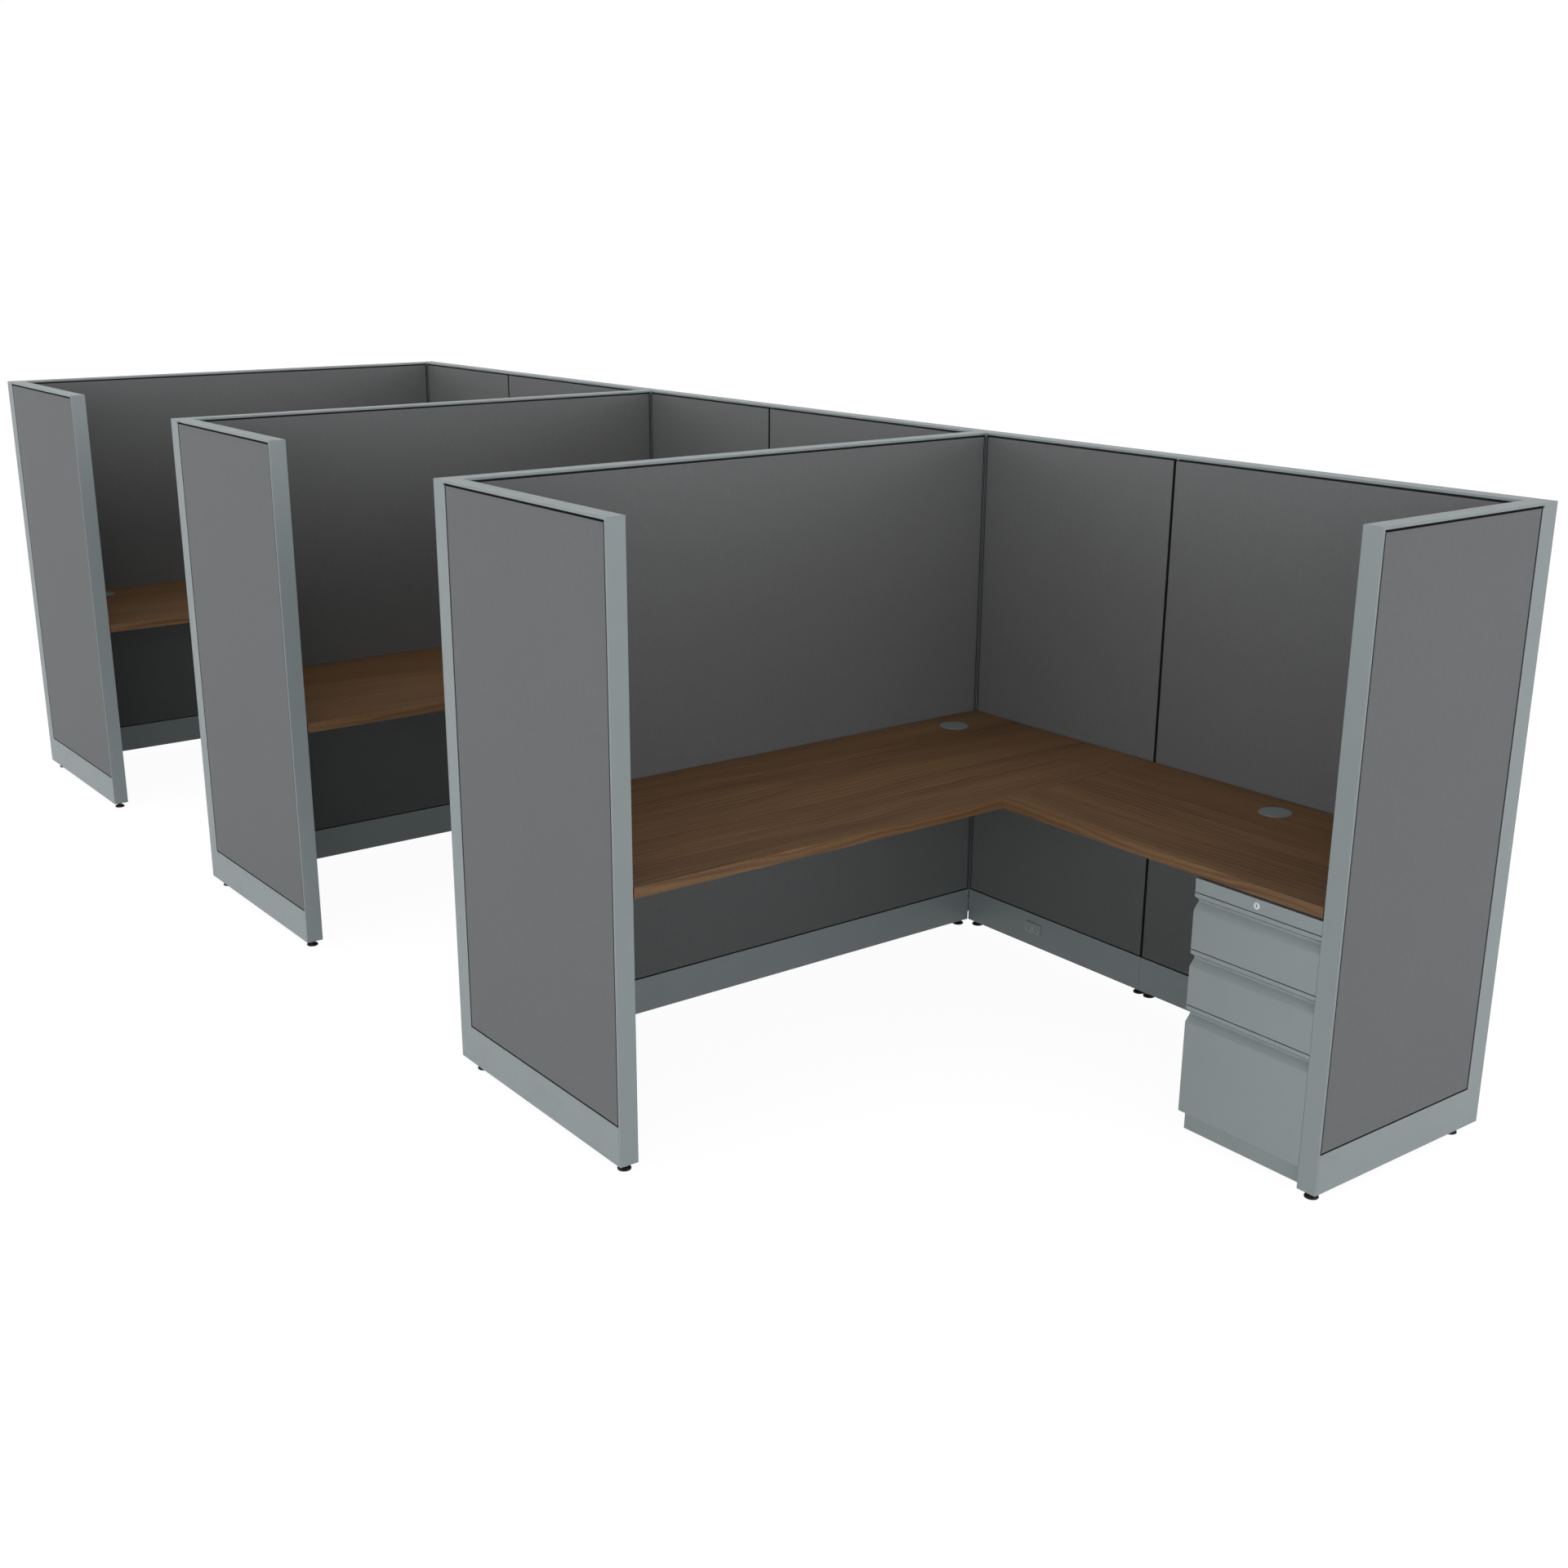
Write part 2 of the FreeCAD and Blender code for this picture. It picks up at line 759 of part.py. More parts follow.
def board(span, screws):
    """A worksurface's board inside its edge bands, with its grommet holes and the screws' pilot holes."""
    x0, x1, y0, y1 = span
    band = edge_band
    low, high = worksurface_bottom, worksurface_top
    shape = block(x0 + band, x1 - band, y0 + band, y1 - band, low, high)

    def over_board(x, y):
        return x0 < x < x1 and y0 < y < y1

    cuts = [disc(grommet_hole_radius, x, y, low - overrun, high + overrun)
            for x, y in grommet_places() if over_board(x, y)]
    cuts += [disc(screw_radius, x, y, low - overrun, low + screw_grip)
             for x, y, _ in screws if over_board(x, y)]
    return shape.cut(cuts)


def bands(span):
    """The four edge bands of a worksurface, the long ones over the ends of the short ones."""
    x0, x1, y0, y1 = span
    z0, z1 = worksurface_bottom, worksurface_top
    left = block(x0, x0 + edge_band, y0, y1, z0, z1)
    right = block(x1 - edge_band, x1, y0, y1, z0, z1)
    front = block(x0 + edge_band, x1 - edge_band, y0, y0 + edge_band, z0, z1)
    back = block(x0 + edge_band, x1 - edge_band, y1 - edge_band, y1, z0, z1)

    def outer(axis, place):
        low, high = axis + "Min", axis + "Max"
        return lambda b: at(getattr(b, low), place) and at(getattr(b, high), place) and at(b.ZMin, b.ZMax)

    sides = ((left, "X", x0), (right, "X", x1), (front, "Y", y0), (back, "Y", y1))
    return [rounded(band, edge_band_radius, outer(axis, place)) for band, axis, place in sides]


def grommet_sleeve(x, y):
    """The sleeve that lines a grommet hole, with a seat for the cap in its flange."""
    top = worksurface_top + grommet_flange
    flange = disc(grommet_flange_radius, x, y, worksurface_top, top)
    flange = rounded(flange, grommet_edge_radius, lambda b: at(b.ZMin, top))
    shape = flange.fuse(disc(grommet_tube_radius, x, y, worksurface_bottom, worksurface_top))
    seat = disc(grommet_seat_radius, x, y, worksurface_top + grommet_seat_floor, top + overrun)
    bore = disc(grommet_bore_radius, x, y, worksurface_bottom - overrun, top + overrun)
    return shape.cut([seat, bore])


def grommet_cap(x, y):
    """The cap of a grommet: a disc, and four tabs below it that hold it in the sleeve, each a solid."""
    top = worksurface_top + grommet_flange
    under = worksurface_top + grommet_seat_floor
    lid = disc(grommet_seat_radius - grommet_clearance, x, y, under, top)
    lid = rounded(lid, grommet_edge_radius, lambda b: at(b.ZMin, top))
    outer = grommet_bore_radius - grommet_clearance
    low = worksurface_top - grommet_tab_drop
    ring = disc(outer, x, y, low, under).cut(disc(outer - grommet_tab_thickness, x, y, low - overrun, under))
    half = grommet_tab_width / 2
    spans = ((0, outer, -half, half), (-outer, 0, -half, half), (-half, half, 0, outer),
             (-half, half, -outer, 0))
    tabs = [ring.common(block(x + x0, x + x1, y + y0, y + y1, low, under)) for x0, x1, y0, y1 in spans]
    return [lid] + [tab.Solids[0] for tab in tabs]


def hooks():
    """The hooks of a bracket on a frame face at x = 0 that looks at +X, in the middle of a slot line."""
    highest = worksurface_bottom - hook_margin - slot_height
    usable = [z for z in slot_bottoms() if z <= highest][-bracket_hooks:]
    half = bracket_sheet / 2
    back = -tube_wall - hook_thickness
    shapes = []
    for z in usable:
        shapes.append(block(back, 0, -half, half, z, z + hook_neck))
        shapes.append(block(back, -tube_wall, -half, half, z - hook_tail, z + hook_neck))
    return shapes


def cantilever():
    """A bracket that hangs in the slots of the frame face at x = 0, its flange on the -Y side."""
    half = bracket_sheet / 2
    face = half_panel - half_frame
    top = worksurface_bottom
    root = top - bracket_root
    outline = [(0, root), (0, top), (face + bracket_reach, top), (face + bracket_reach, top - bracket_tip),
               (face + bracket_root_flat, root)]
    plate = prism([FreeCAD.Vector(x, -half, z) for x, z in outline], FreeCAD.Vector(0, bracket_sheet, 0))
    flange = block(face + bracket_flange_start, face + bracket_reach, -half - bracket_flange, half,
                   top - bracket_sheet, top)
    return plate.fuse([flange] + hooks()).removeSplitter()


def cantilevers(screws):
    """The two brackets under a bay's main piece, in the bay's frame."""
    bracket = moved(cantilever(), half_frame - half_panel, -post_slot_offset)
    pair = [bracket, mirrored_y(bracket, -bay_depth / 2)]
    return [drilled(shape, screws) for shape in pair]


def support_angle(screws):
    """The angle under the side piece's back edge, and a hooked plate at each end that hangs in the slots."""
    half = bracket_sheet / 2
    x0 = spine_seam + seam_slot_offset
    x1 = bay_width - post_slot_offset
    top = worksurface_bottom
    upright = block(x0 + half, x1 - half, -angle_sheet, 0, top - angle_leg, top)
    ledge = block(x0 + half, x1 - half, -angle_leg, 0, top - angle_sheet, top)
    lip = block(x0 + half, x1 - half, -angle_leg, angle_sheet - angle_leg, top - angle_lip, top)
    pieces = [drilled(upright.fuse([ledge, lip]).removeSplitter(), screws)]
    frame_face = half_panel - half_frame
    for x in (x0, x1):
        plate = block(x - half, x + half, -angle_tab_reach, frame_face, top - angle_tab_drop, top)
        pieces.append(plate.fuse([moved(hook, x, frame_face, -90) for hook in hooks()]).removeSplitter())
    return pieces


def stiffener(screws):
    """The channel under the main piece, along its free edge."""
    x1 = main_edge - stiffener_offset + stiffener_width / 2
    x0 = x1 - stiffener_width
    y0 = stiffener_end_gap - bay_depth
    y1 = -stiffener_end_gap
    z0 = worksurface_bottom - stiffener_height
    bar = block(x0, x1, y0, y1, z0, worksurface_bottom)
    hollow = block(x0 + stiffener_sheet, x1 - stiffener_sheet, y0 - overrun, y1 + overrun, z0 - overrun,
                   worksurface_bottom - stiffener_sheet)
    return drilled(bar.cut(hollow), screws)


def seam_joint_spans():
    """The plan of the two flat plates across the seam between the pieces."""
    half_length = joint_plate_length / 2
    half_width = joint_plate_width / 2
    x0 = main_edge - half_length
    x1 = main_edge + half_length
    centres = (-joint_plate_inset, joint_plate_inset - side_edge)
    return [(x0, x1, y - half_width, y + half_width) for y in centres]


def seam_joints(screws):
    """The flat plates that join the main and side pieces from below."""
    low = worksurface_bottom - plate_thickness
    return [drilled(block(*span, low, worksurface_bottom), screws) for span in seam_joint_spans()]


def drilled(shape, screws):
    """The shape with a clearance hole for every screw that passes through it."""
    low = worksurface_bottom - stiffener_height
    high = worksurface_bottom + overrun
    radius = screw_radius + screw_clearance
    return shape.cut([disc(radius, x, y, low, high) for x, y, _ in screws])


def spread(start, end, count):
    """Evenly spaced places from start to end."""
    return [start + (end - start) * i / (count - 1) for i in range(count)]


def screw_places():
    """Every screw up into the boards of a bay, as x, y and the thickness that it holds."""
    places = []
    flange_y = post_slot_offset + (bracket_sheet + bracket_flange) / 2
    first = bracket_flange_start + screw_margin
    for x in spread(first, bracket_reach - screw_margin, bracket_screw_count):
        places.append((x, -flange_y, bracket_sheet))
        places.append((x, flange_y - bay_depth, bracket_sheet))
    ledge_y = -(angle_leg + angle_sheet) / 2
    ends = joint_plate_width
    for x in spread(spine_seam + ends, bay_width - ends, rail_screw_count):
        places.append((x, ledge_y, angle_sheet))
    first = stiffener_end_gap + screw_margin
    for y in spread(-first, first - bay_depth, rail_screw_count):
        places.append((main_edge - stiffener_offset, y, stiffener_sheet))
    for x0, x1, y0, y1 in seam_joint_spans():
        for x in (x0 + screw_margin, x1 - screw_margin):
            for y in (y0 + screw_margin, y1 - screw_margin):
                places.append((x, y, plate_thickness))
    return places


def screw(x, y, held):
    """A pan-head screw from below a bracket up into a board."""
    seat = worksurface_bottom - held
    head = disc(screw_head_radius, x, y, seat - screw_head_height, seat)
    return head.fuse(disc(screw_radius, x, y, seat, worksurface_bottom + screw_grip)).removeSplitter()


def drawer_spans():
    """The bottom and top of each drawer front, from the top drawer down."""
    spans = []
    top = lock_rail_bottom - front_gap
    for height in (box_front_height, box_front_height, file_front_height):
        spans.append((top - height, top))
        top -= height + front_gap
    return spans


def front_outline(z0, z1):
    """The side view of a drawer front as (depth, height), the finger pull cut in below its lip."""
    lip = z1 - front_lip
    deepest = lip - pull_drop
    flare_end = deepest - pull_flare
    return [(front_depth, z1), (0, z1), (0, lip), (pull_depth, deepest), (0, flare_end), (0, z0),
            (front_depth, z0)]


def drawer_front(z0, z1):
    """A drawer front: a folded steel pan, hollow behind its skin and open at the back."""
    outline = front_outline(z0, z1)
    _, upper_edge, lip_edge, deepest, flare_end, lower_edge, _ = outline
    shape = prism([FreeCAD.Vector(0, y, z) for y, z in outline], FreeCAD.Vector(pedestal_width, 0, 0))

    def along(place):
        y, z = place
        return lambda b: at(b.YMin, y) and at(b.YMax, y) and at(b.ZMin, z) and at(b.ZMax, z)

    shape = rounded(shape, pull_radius, along(deepest))
    shape = rounded(shape, flare_radius, along(flare_end))
    for place in (upper_edge, lip_edge, lower_edge):
        shape = rounded(shape, front_edge_radius, along(place))
    start = front_sheet
    end = pedestal_width - front_sheet
    face = Part.Face(Part.makePolygon([FreeCAD.Vector(start, y, z) for y, z in outline + outline[:1]]))
    inner = face.makeOffset2D(-front_sheet, 2)
    hollow = inner.extrude(FreeCAD.Vector(end - start, 0, 0))
    window = block(start, end, front_depth - 2 * front_sheet, front_depth + overrun, z0 + front_sheet,
                   flare_end[1])
    return shape.cut([hollow, window])


def drawer_box(z0, height):
    """A drawer's steel box, open at the top, behind its front."""
    x0 = pedestal_sheet + drawer_side_space
    x1 = pedestal_width - x0
    y1 = front_depth + drawer_box_depth
    low = z0 + drawer_box_lift
    outer = block(x0, x1, front_depth, y1, low, low + height)
    hollow = block(x0 + drawer_sheet, x1 - drawer_sheet, front_depth + drawer_sheet, y1 - drawer_sheet,
                   low + drawer_sheet, low + height + overrun)
    return outer.cut(hollow)


def file_rails(z0):
    """The two bars inside the file drawer that hanging folders ride on."""
    x0 = pedestal_sheet + drawer_side_space + drawer_sheet
    top = z0 + drawer_box_lift + file_drawer_height
    y0 = front_depth + drawer_sheet
    y1 = front_depth + drawer_box_depth - drawer_sheet
    bar = block(x0, x0 + file_rail_width, y0, y1, top - file_rail_height, top)
    return [bar, mirrored_x(bar, pedestal_width / 2)]


def slide_members(middle_height, height, count):
    """A slide's members on the left, from the case's side to the drawer's: nested channels, then a bar."""
    y0 = pedestal_back + slide_setback
    y1 = y0 + slide_length
    members = []
    x0 = pedestal_sheet
    x_drawer = pedestal_sheet + drawer_side_space
    z0 = middle_height - height / 2
    z1 = middle_height + height / 2
    step = slide_sheet + slide_clearance
    for i in range(count):
        last = i == count - 1
        x1 = x_drawer if last else pedestal_sheet + slide_lip + i * step
        member = block(x0, x1, y0, y1, z0, z1)
        if not last:
            hollow = block(x0 + slide_sheet, x1 + overrun, y0 - overrun, y1 + overrun, z0 + slide_sheet,
                           z1 - slide_sheet)
            member = member.cut(hollow)
        members.append(member)
        x0 += step
        z0 += step
        z1 -= step
    return members


def drawer_pieces():
    """Each drawer's front, its box with what is fixed to it, and its slides' fixed and middle members."""
    pieces = []
    for i, (z0, z1) in enumerate(drawer_spans()):
        is_file = i == 2
        height = file_drawer_height if is_file else box_drawer_height
        slide_height = file_slide_height if is_file else box_slide_height
        middle = z0 + drawer_box_lift + height / 2
        members = slide_members(middle, slide_height, 3 if is_file else 2)
        pairs = [[m, mirrored_x(m, pedestal_width / 2)] for m in members]
        box = [drawer_box(z0, height)] + pairs[-1] + (file_rails(z0) if is_file else [])
        pieces.append({"front": [drawer_front(z0, z1)], "box": box, "fixed": pairs[0],
                       "middle": pairs[1] if is_file else []})
    return pieces


def lock_place():
    """The centre of the lock, across and up."""
    return pedestal_width / 2, pedestal_height - lock_drop


def lock_bar_face():
    """The front of the lock bar, which stands behind the drawers' boxes."""
    return front_depth + drawer_box_depth + lock_bar_offset


def rod(radius, x, z, y0, y1):
    """A round bar along Y."""
    return Part.makeCylinder(radius, y1 - y0, FreeCAD.Vector(x, y0, z), FreeCAD.Vector(0, 1, 0))


def lock_cylinder():
    """The lock's cylinder, with its keyway in front and a long rod behind it that ends in a crank."""
    x, z = lock_place()
    barrel = rod(lock_radius, x, z, -lock_proud, lock_length - lock_proud)
    barrel = rounded(barrel, lock_edge_radius, lambda b: at(b.YMax, -lock_proud))
    back = lock_bar_face() - lock_bar_offset / 2
    shaft = rod(lock_rod_radius, x, z, 0, back)
    crank = block(x - crank_half_width, x + crank_radius + crank_half_width, back - crank_thickness, back,
                  z - crank_half_width, z + crank_half_width)
    pin = rod(crank_pin_radius, x + crank_radius, z, back - crank_thickness, back + crank_pin_length)
    half = keyway_width / 2
    keyway = block(x - half, x + half, -lock_proud - overrun, keyway_depth - lock_proud,
                   z - keyway_height / 2, z + keyway_height / 2)
    return barrel.fuse([shaft, crank, pin]).removeSplitter().cut(keyway)


def drawer_box_tops():
    """The height of each drawer box's upper edge, from the top drawer down."""
    heights = (box_drawer_height, box_drawer_height, file_drawer_height)
    return [z0 + drawer_box_lift + height for (z0, _), height in zip(drawer_spans(), heights)]


def lock_bar():
    """The bar behind the drawers: the crank's pin moves it, and its hooks hold the boxes' back walls."""
    x, z = lock_place()
    x += crank_radius / 2
    y0 = lock_bar_face()
    low = drawer_box_tops()[-1] + lock_bar_drop - lock_bar_tail
    plate = block(x - lock_bar_half_width, x + lock_bar_half_width, y0, y0 + lock_bar_thickness, low,
                  z + lock_bar_head)
    slot_half = crank_radius / 2 + crank_pin_radius + lock_clearance
    slot = block(x - slot_half, x + slot_half, y0 - overrun, y0 + lock_bar_thickness + overrun,
                 z - lock_bar_slot / 2, z + lock_bar_slot / 2)
    fingers = []
    wall = front_depth + drawer_box_depth - drawer_sheet
    tip = wall - lock_hook_reach
    for top in drawer_box_tops():
        arm = top + lock_bar_drop + lock_hook_gap
        arm_top = arm + lock_hook_sheet
        x0, x1 = x - lock_hook_half_width, x + lock_hook_half_width
        fingers.append(block(x0, x1, tip, y0, arm, arm_top))
        fingers.append(block(x0, x1, tip, tip + lock_hook_sheet, arm - lock_hook_drop, arm_top))
    return plate.cut(slot).fuse(fingers).removeSplitter()


def lock_bar_guides():
    """The two guides on the case's back that the lock bar slides in."""
    x, z = lock_place()
    x += crank_radius / 2
    y0 = lock_bar_face()
    gap = lock_clearance
    guides = []
    for top in drawer_box_tops()[:2]:
        z1 = top - bar_guide_below
        half = lock_bar_half_width + bar_guide_margin
        guide = block(x - half, x + half, y0 - lock_bar_offset / 2, pedestal_depth - pedestal_sheet,
                      z1 - bar_guide_height, z1)
        way = block(x - lock_bar_half_width - gap, x + lock_bar_half_width + gap, y0 - gap,
                    y0 + lock_bar_thickness + gap, z1 - bar_guide_height - overrun, z1 + overrun)
        guides.append(guide.cut(way))
    return guides


def lock_rail():
    """The rail above the top drawer, a channel open at the back with a hole for the lock."""
    outer = block(0, pedestal_width, 0, pedestal_back, lock_rail_bottom, pedestal_height)
    outer = rounded(outer, front_edge_radius, lambda b: at(b.YMax, 0) and at(b.ZMin, b.ZMax))
    hollow = block(pedestal_sheet, pedestal_width - pedestal_sheet, pedestal_sheet, pedestal_back + overrun,
                   lock_rail_bottom + pedestal_sheet, pedestal_height - pedestal_sheet)
    x, z = lock_place()
    return outer.cut([hollow, rod(lock_radius + lock_clearance, x, z, -overrun, pedestal_back)])


def pedestal_case():
    """The pedestal's sides, back, top, floor and lock rail, each a sheet of its own."""
    w, s = pedestal_width, pedestal_sheet
    y0, y1 = pedestal_back, pedestal_depth
    z0, z1 = pedestal_base_height, pedestal_height
    left = block(0, s, y0, y1, z0, z1)
    back = block(s, w - s, y1 - s, y1, z0, z1)
    top = block(s, w - s, y0, y1 - s, z1 - s, z1)
    floor = block(s, w - s, y0, y1 - s, z0, z0 + s)
    return [left, mirrored_x(left, w / 2), back, top, floor, lock_rail()] + lock_bar_guides()


def pedestal_glide_places():
    """The four glides under a pedestal."""
    inset = pedestal_glide_inset
    ys = (plinth_recess + inset, pedestal_depth - inset)
    return [(x, y) for x in (inset, pedestal_width - inset) for y in ys]


def plinth():
    """The recessed tray under the case, with threaded holes for its glides."""
    s = pedestal_sheet
    z0 = pedestal_foot_gap
    outer = block(0, pedestal_width, plinth_recess, pedestal_depth, z0, pedestal_base_height)
    hollow = block(s, pedestal_width - s, plinth_recess + s, pedestal_depth - s, z0 + s,
                   pedestal_base_height + overrun)
    radius = pedestal_glide_stem_radius
    holes = [disc(radius, x, y, 0, pedestal_base_height) for x, y in pedestal_glide_places()]
    return outer.cut([hollow] + holes)


def pedestal_glides():
    """The four glides of a pedestal."""
    sizes = (pedestal_glide_radius, pedestal_glide_pad, pedestal_glide_fillet, pedestal_glide_stem_radius,
             pedestal_glide_stem_top)
    return [glide(*sizes, x, y) for x, y in pedestal_glide_places()]


def pedestal_pads():
    """The four rubber pads between the case and the worksurface."""
    ys = (pad_inset, pedestal_depth - pad_inset)
    return [disc(pad_radius, x, y, pedestal_height, worksurface_bottom)
            for x in (pad_inset, pedestal_width - pad_inset) for y in ys]


def panel_nodes():
    """The nodes that make up the panels, as a name and its solids."""
    makers = {"slotted_stiles": stiles, "frame_rails": rails, "acoustic_cores": core, "fabric_tiles": tiles,
              "raceway_covers": covers, "top_caps": panel_cap, "end_trims": end_trim,
              "leveling_glides": panel_glides, "frame_fasteners": joint_bolts}
    nodes = {name: [] for name in makers}
    for run in panel_runs():
        for name, maker in makers.items():
            nodes[name] += run.placed(maker(run))
        nodes["frame_fasteners"] += run.placed(glide_inserts(run) + tile_clips(run))
    nodes["connector_posts"] = [moved(post(sides), x, y) for x, y, sides in posts()]
    nodes["top_caps"] += [moved(post_cap(sides), x, y) for x, y, sides in posts()]
    nodes["raceway_covers"] += [moved(post_cover(sides), x, y) for x, y, sides in posts()]
    nodes["joining_plates"] = joint_plates()
    line = spine_face + half_panel
    nodes["duplex_outlets"] = [moved(outlet(), bay_left(k), line) for k in range(bay_count)]
    nodes["power_feed"] = power_feed()
    return nodes


def worksurface_nodes():
    """The nodes that make up the worksurfaces, as a name and its solids."""
    screws = screw_places()
    main, side = board_spans()
    parts = {"main_worksurfaces": [board(main, screws)], "side_worksurfaces": [board(side, screws)],
             "edge_bands": bands(main) + bands(side), "cantilever_brackets": cantilevers(screws),
             "worksurface_rails": support_angle(screws) + [stiffener(screws)],
             "joining_plates": seam_joints(screws),
             "worksurface_screws": [screw(*place) for place in screws],
             "grommet_sleeves": [grommet_sleeve(x, y) for x, y in grommet_places()]}
    nodes = {}
    for name, shapes in parts.items():
        nodes[name] = [moved(s, bay_left(k), spine_face) for k in range(bay_count) for s in shapes]
    for k in range(bay_count):
        for i, (x, y) in enumerate(grommet_places()):
            cap = [moved(s, bay_left(k), spine_face) for s in grommet_cap(x, y)]
            nodes[f"grommet_cap_{bay_letters[k]}{i + 1}"] = cap
    return nodes


def pedestal_nodes():
    """The nodes that make up the pedestals, as a name and its solids."""
    shared = {"pedestal_cases": pedestal_case(), "pedestal_plinths": [plinth()],
              "leveling_glides": pedestal_glides(), "pedestal_pads": pedestal_pads(), "slide_rails": []}
    drawers = drawer_pieces()
    for drawer in drawers:
        shared["slide_rails"] += drawer["fixed"]
    nodes = {name: [] for name in shared}
    for k in range(bay_count):
        x = bay_left(k) + pedestal_x
        letter = bay_letters[k]
        for name, shapes in shared.items():
            nodes[name] += [moved(s, x, pedestal_front) for s in shapes]
        for i, drawer in enumerate(drawers):
            nodes[f"drawer_front_{letter}{i + 1}"] = [moved(s, x, pedestal_front) for s in drawer["front"]]
            nodes[f"drawer_box_{letter}{i + 1}"] = [moved(s, x, pedestal_front) for s in drawer["box"]]
            if drawer["middle"]:
                nodes[f"slide_middles_{letter}"] = [moved(s, x, pedestal_front) for s in drawer["middle"]]
        nodes[f"lock_cylinder_{letter}"] = [moved(lock_cylinder(), x, pedestal_front)]
        nodes[f"lock_bar_{letter}"] = [moved(lock_bar(), x, pedestal_front)]
    return nodes


def main():
    """Builds every node and writes it to its own file."""
    os.makedirs("parts", exist_ok=True)
    nodes = {}
    for group in (panel_nodes(), worksurface_nodes(), pedestal_nodes()):
        for name, shapes in group.items():
            nodes[name] = nodes.get(name, []) + shapes
    for name, shapes in nodes.items():
        bad = [i for i, s in enumerate(shapes) if not s.isValid() or s.Volume <= 0]
        shape = shapes[0] if len(shapes) == 1 else Part.makeCompound(shapes)
        shape.exportStep(f"parts/{name}.step")
        print(f"{name}: {len(shape.Solids)} solids{', not valid: ' + str(bad) if bad else ''}")


if __name__ == "__main__":
    main()
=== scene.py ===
"""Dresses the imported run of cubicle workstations: finishes, tiles, small fittings, floor, light, camera.

Lengths are in metres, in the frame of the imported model: +X along the spine, +Y its outer side, +Z up.
"""

import json
import logging
import math
from collections.abc import Callable, Iterable, Sequence
from dataclasses import dataclass
from enum import Enum

import bmesh
import bpy
import numpy as np
from mathutils import Matrix, Vector

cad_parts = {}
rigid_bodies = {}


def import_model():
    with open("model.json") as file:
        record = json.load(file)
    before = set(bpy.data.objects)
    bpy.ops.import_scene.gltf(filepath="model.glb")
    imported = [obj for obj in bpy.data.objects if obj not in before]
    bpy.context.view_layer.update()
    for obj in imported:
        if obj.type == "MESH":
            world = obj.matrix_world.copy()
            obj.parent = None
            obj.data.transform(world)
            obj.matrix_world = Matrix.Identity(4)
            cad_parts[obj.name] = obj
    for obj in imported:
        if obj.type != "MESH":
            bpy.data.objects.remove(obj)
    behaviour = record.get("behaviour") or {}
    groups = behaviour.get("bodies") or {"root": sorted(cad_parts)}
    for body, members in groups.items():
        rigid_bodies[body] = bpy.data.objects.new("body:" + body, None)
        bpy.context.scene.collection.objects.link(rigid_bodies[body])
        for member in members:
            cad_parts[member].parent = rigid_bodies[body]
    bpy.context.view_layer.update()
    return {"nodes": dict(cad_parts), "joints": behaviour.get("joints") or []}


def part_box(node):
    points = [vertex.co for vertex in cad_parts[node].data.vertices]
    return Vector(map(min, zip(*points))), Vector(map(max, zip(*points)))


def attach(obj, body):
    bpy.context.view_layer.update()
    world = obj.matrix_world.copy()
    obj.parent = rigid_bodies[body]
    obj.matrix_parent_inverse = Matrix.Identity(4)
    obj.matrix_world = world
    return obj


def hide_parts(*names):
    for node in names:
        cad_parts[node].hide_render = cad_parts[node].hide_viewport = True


for leftover in list(bpy.data.objects):
    bpy.data.objects.remove(leftover)
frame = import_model()

log = logging.getLogger("workstations")

MM = 0.001
BAYS = "abc"
NUMBERS = (1, 2, 3)
CREASE = math.radians(32)
UP = Vector((0, 0, 1))
Colour = tuple[float, float, float]
Point = tuple[float, float, float]


# Node trees


class Value:
    """A socket of a node tree. Sums and products of values become Math nodes."""

    def __init__(self, tree: "Tree", socket: bpy.types.NodeSocket) -> None:
        self.tree = tree
        self.socket = socket

    def _math(self, operation: str, *terms: "Value | float") -> "Value":
        """One Math node on the terms."""
        return self.tree.node("ShaderNodeMath", {"operation": operation}, dict(enumerate(terms)))

    def __add__(self, other: "Value | float") -> "Value":
        """Adds."""
        return self._math("ADD", self, other)

    __radd__ = __add__

    def __sub__(self, other: "Value | float") -> "Value":
        """Subtracts."""
        return self._math("SUBTRACT", self, other)

    def __rsub__(self, other: float) -> "Value":
        """Subtracts this value from a number."""
        return self._math("SUBTRACT", other, self)

    def __mul__(self, other: "Value | float") -> "Value":
        """Multiplies."""
        return self._math("MULTIPLY", self, other)

    __rmul__ = __mul__

    def __gt__(self, other: float) -> "Value":
        """Gives 1 where this value is above the other, else 0."""
        return self._math("GREATER_THAN", self, other)

    def __abs__(self) -> "Value":
        """Drops the sign."""
        return self._math("ABSOLUTE", self)

    def sine(self) -> "Value":
        """The sine, in radians."""
        return self._math("SINE", self)

    def ramp(self, low: float, high: float) -> "Value":
        """A smooth step from 0 at low to 1 at high.

        Args:
            low: The value at which the step starts.
            high: The value at which it is complete.

        Returns:
            The step, kept between 0 and 1.
        """
        settings = {"interpolation_type": "SMOOTHSTEP"}
        inputs = {"Value": self, "From Min": low, "From Max": high}
        return self.tree.node("ShaderNodeMapRange", settings, inputs)


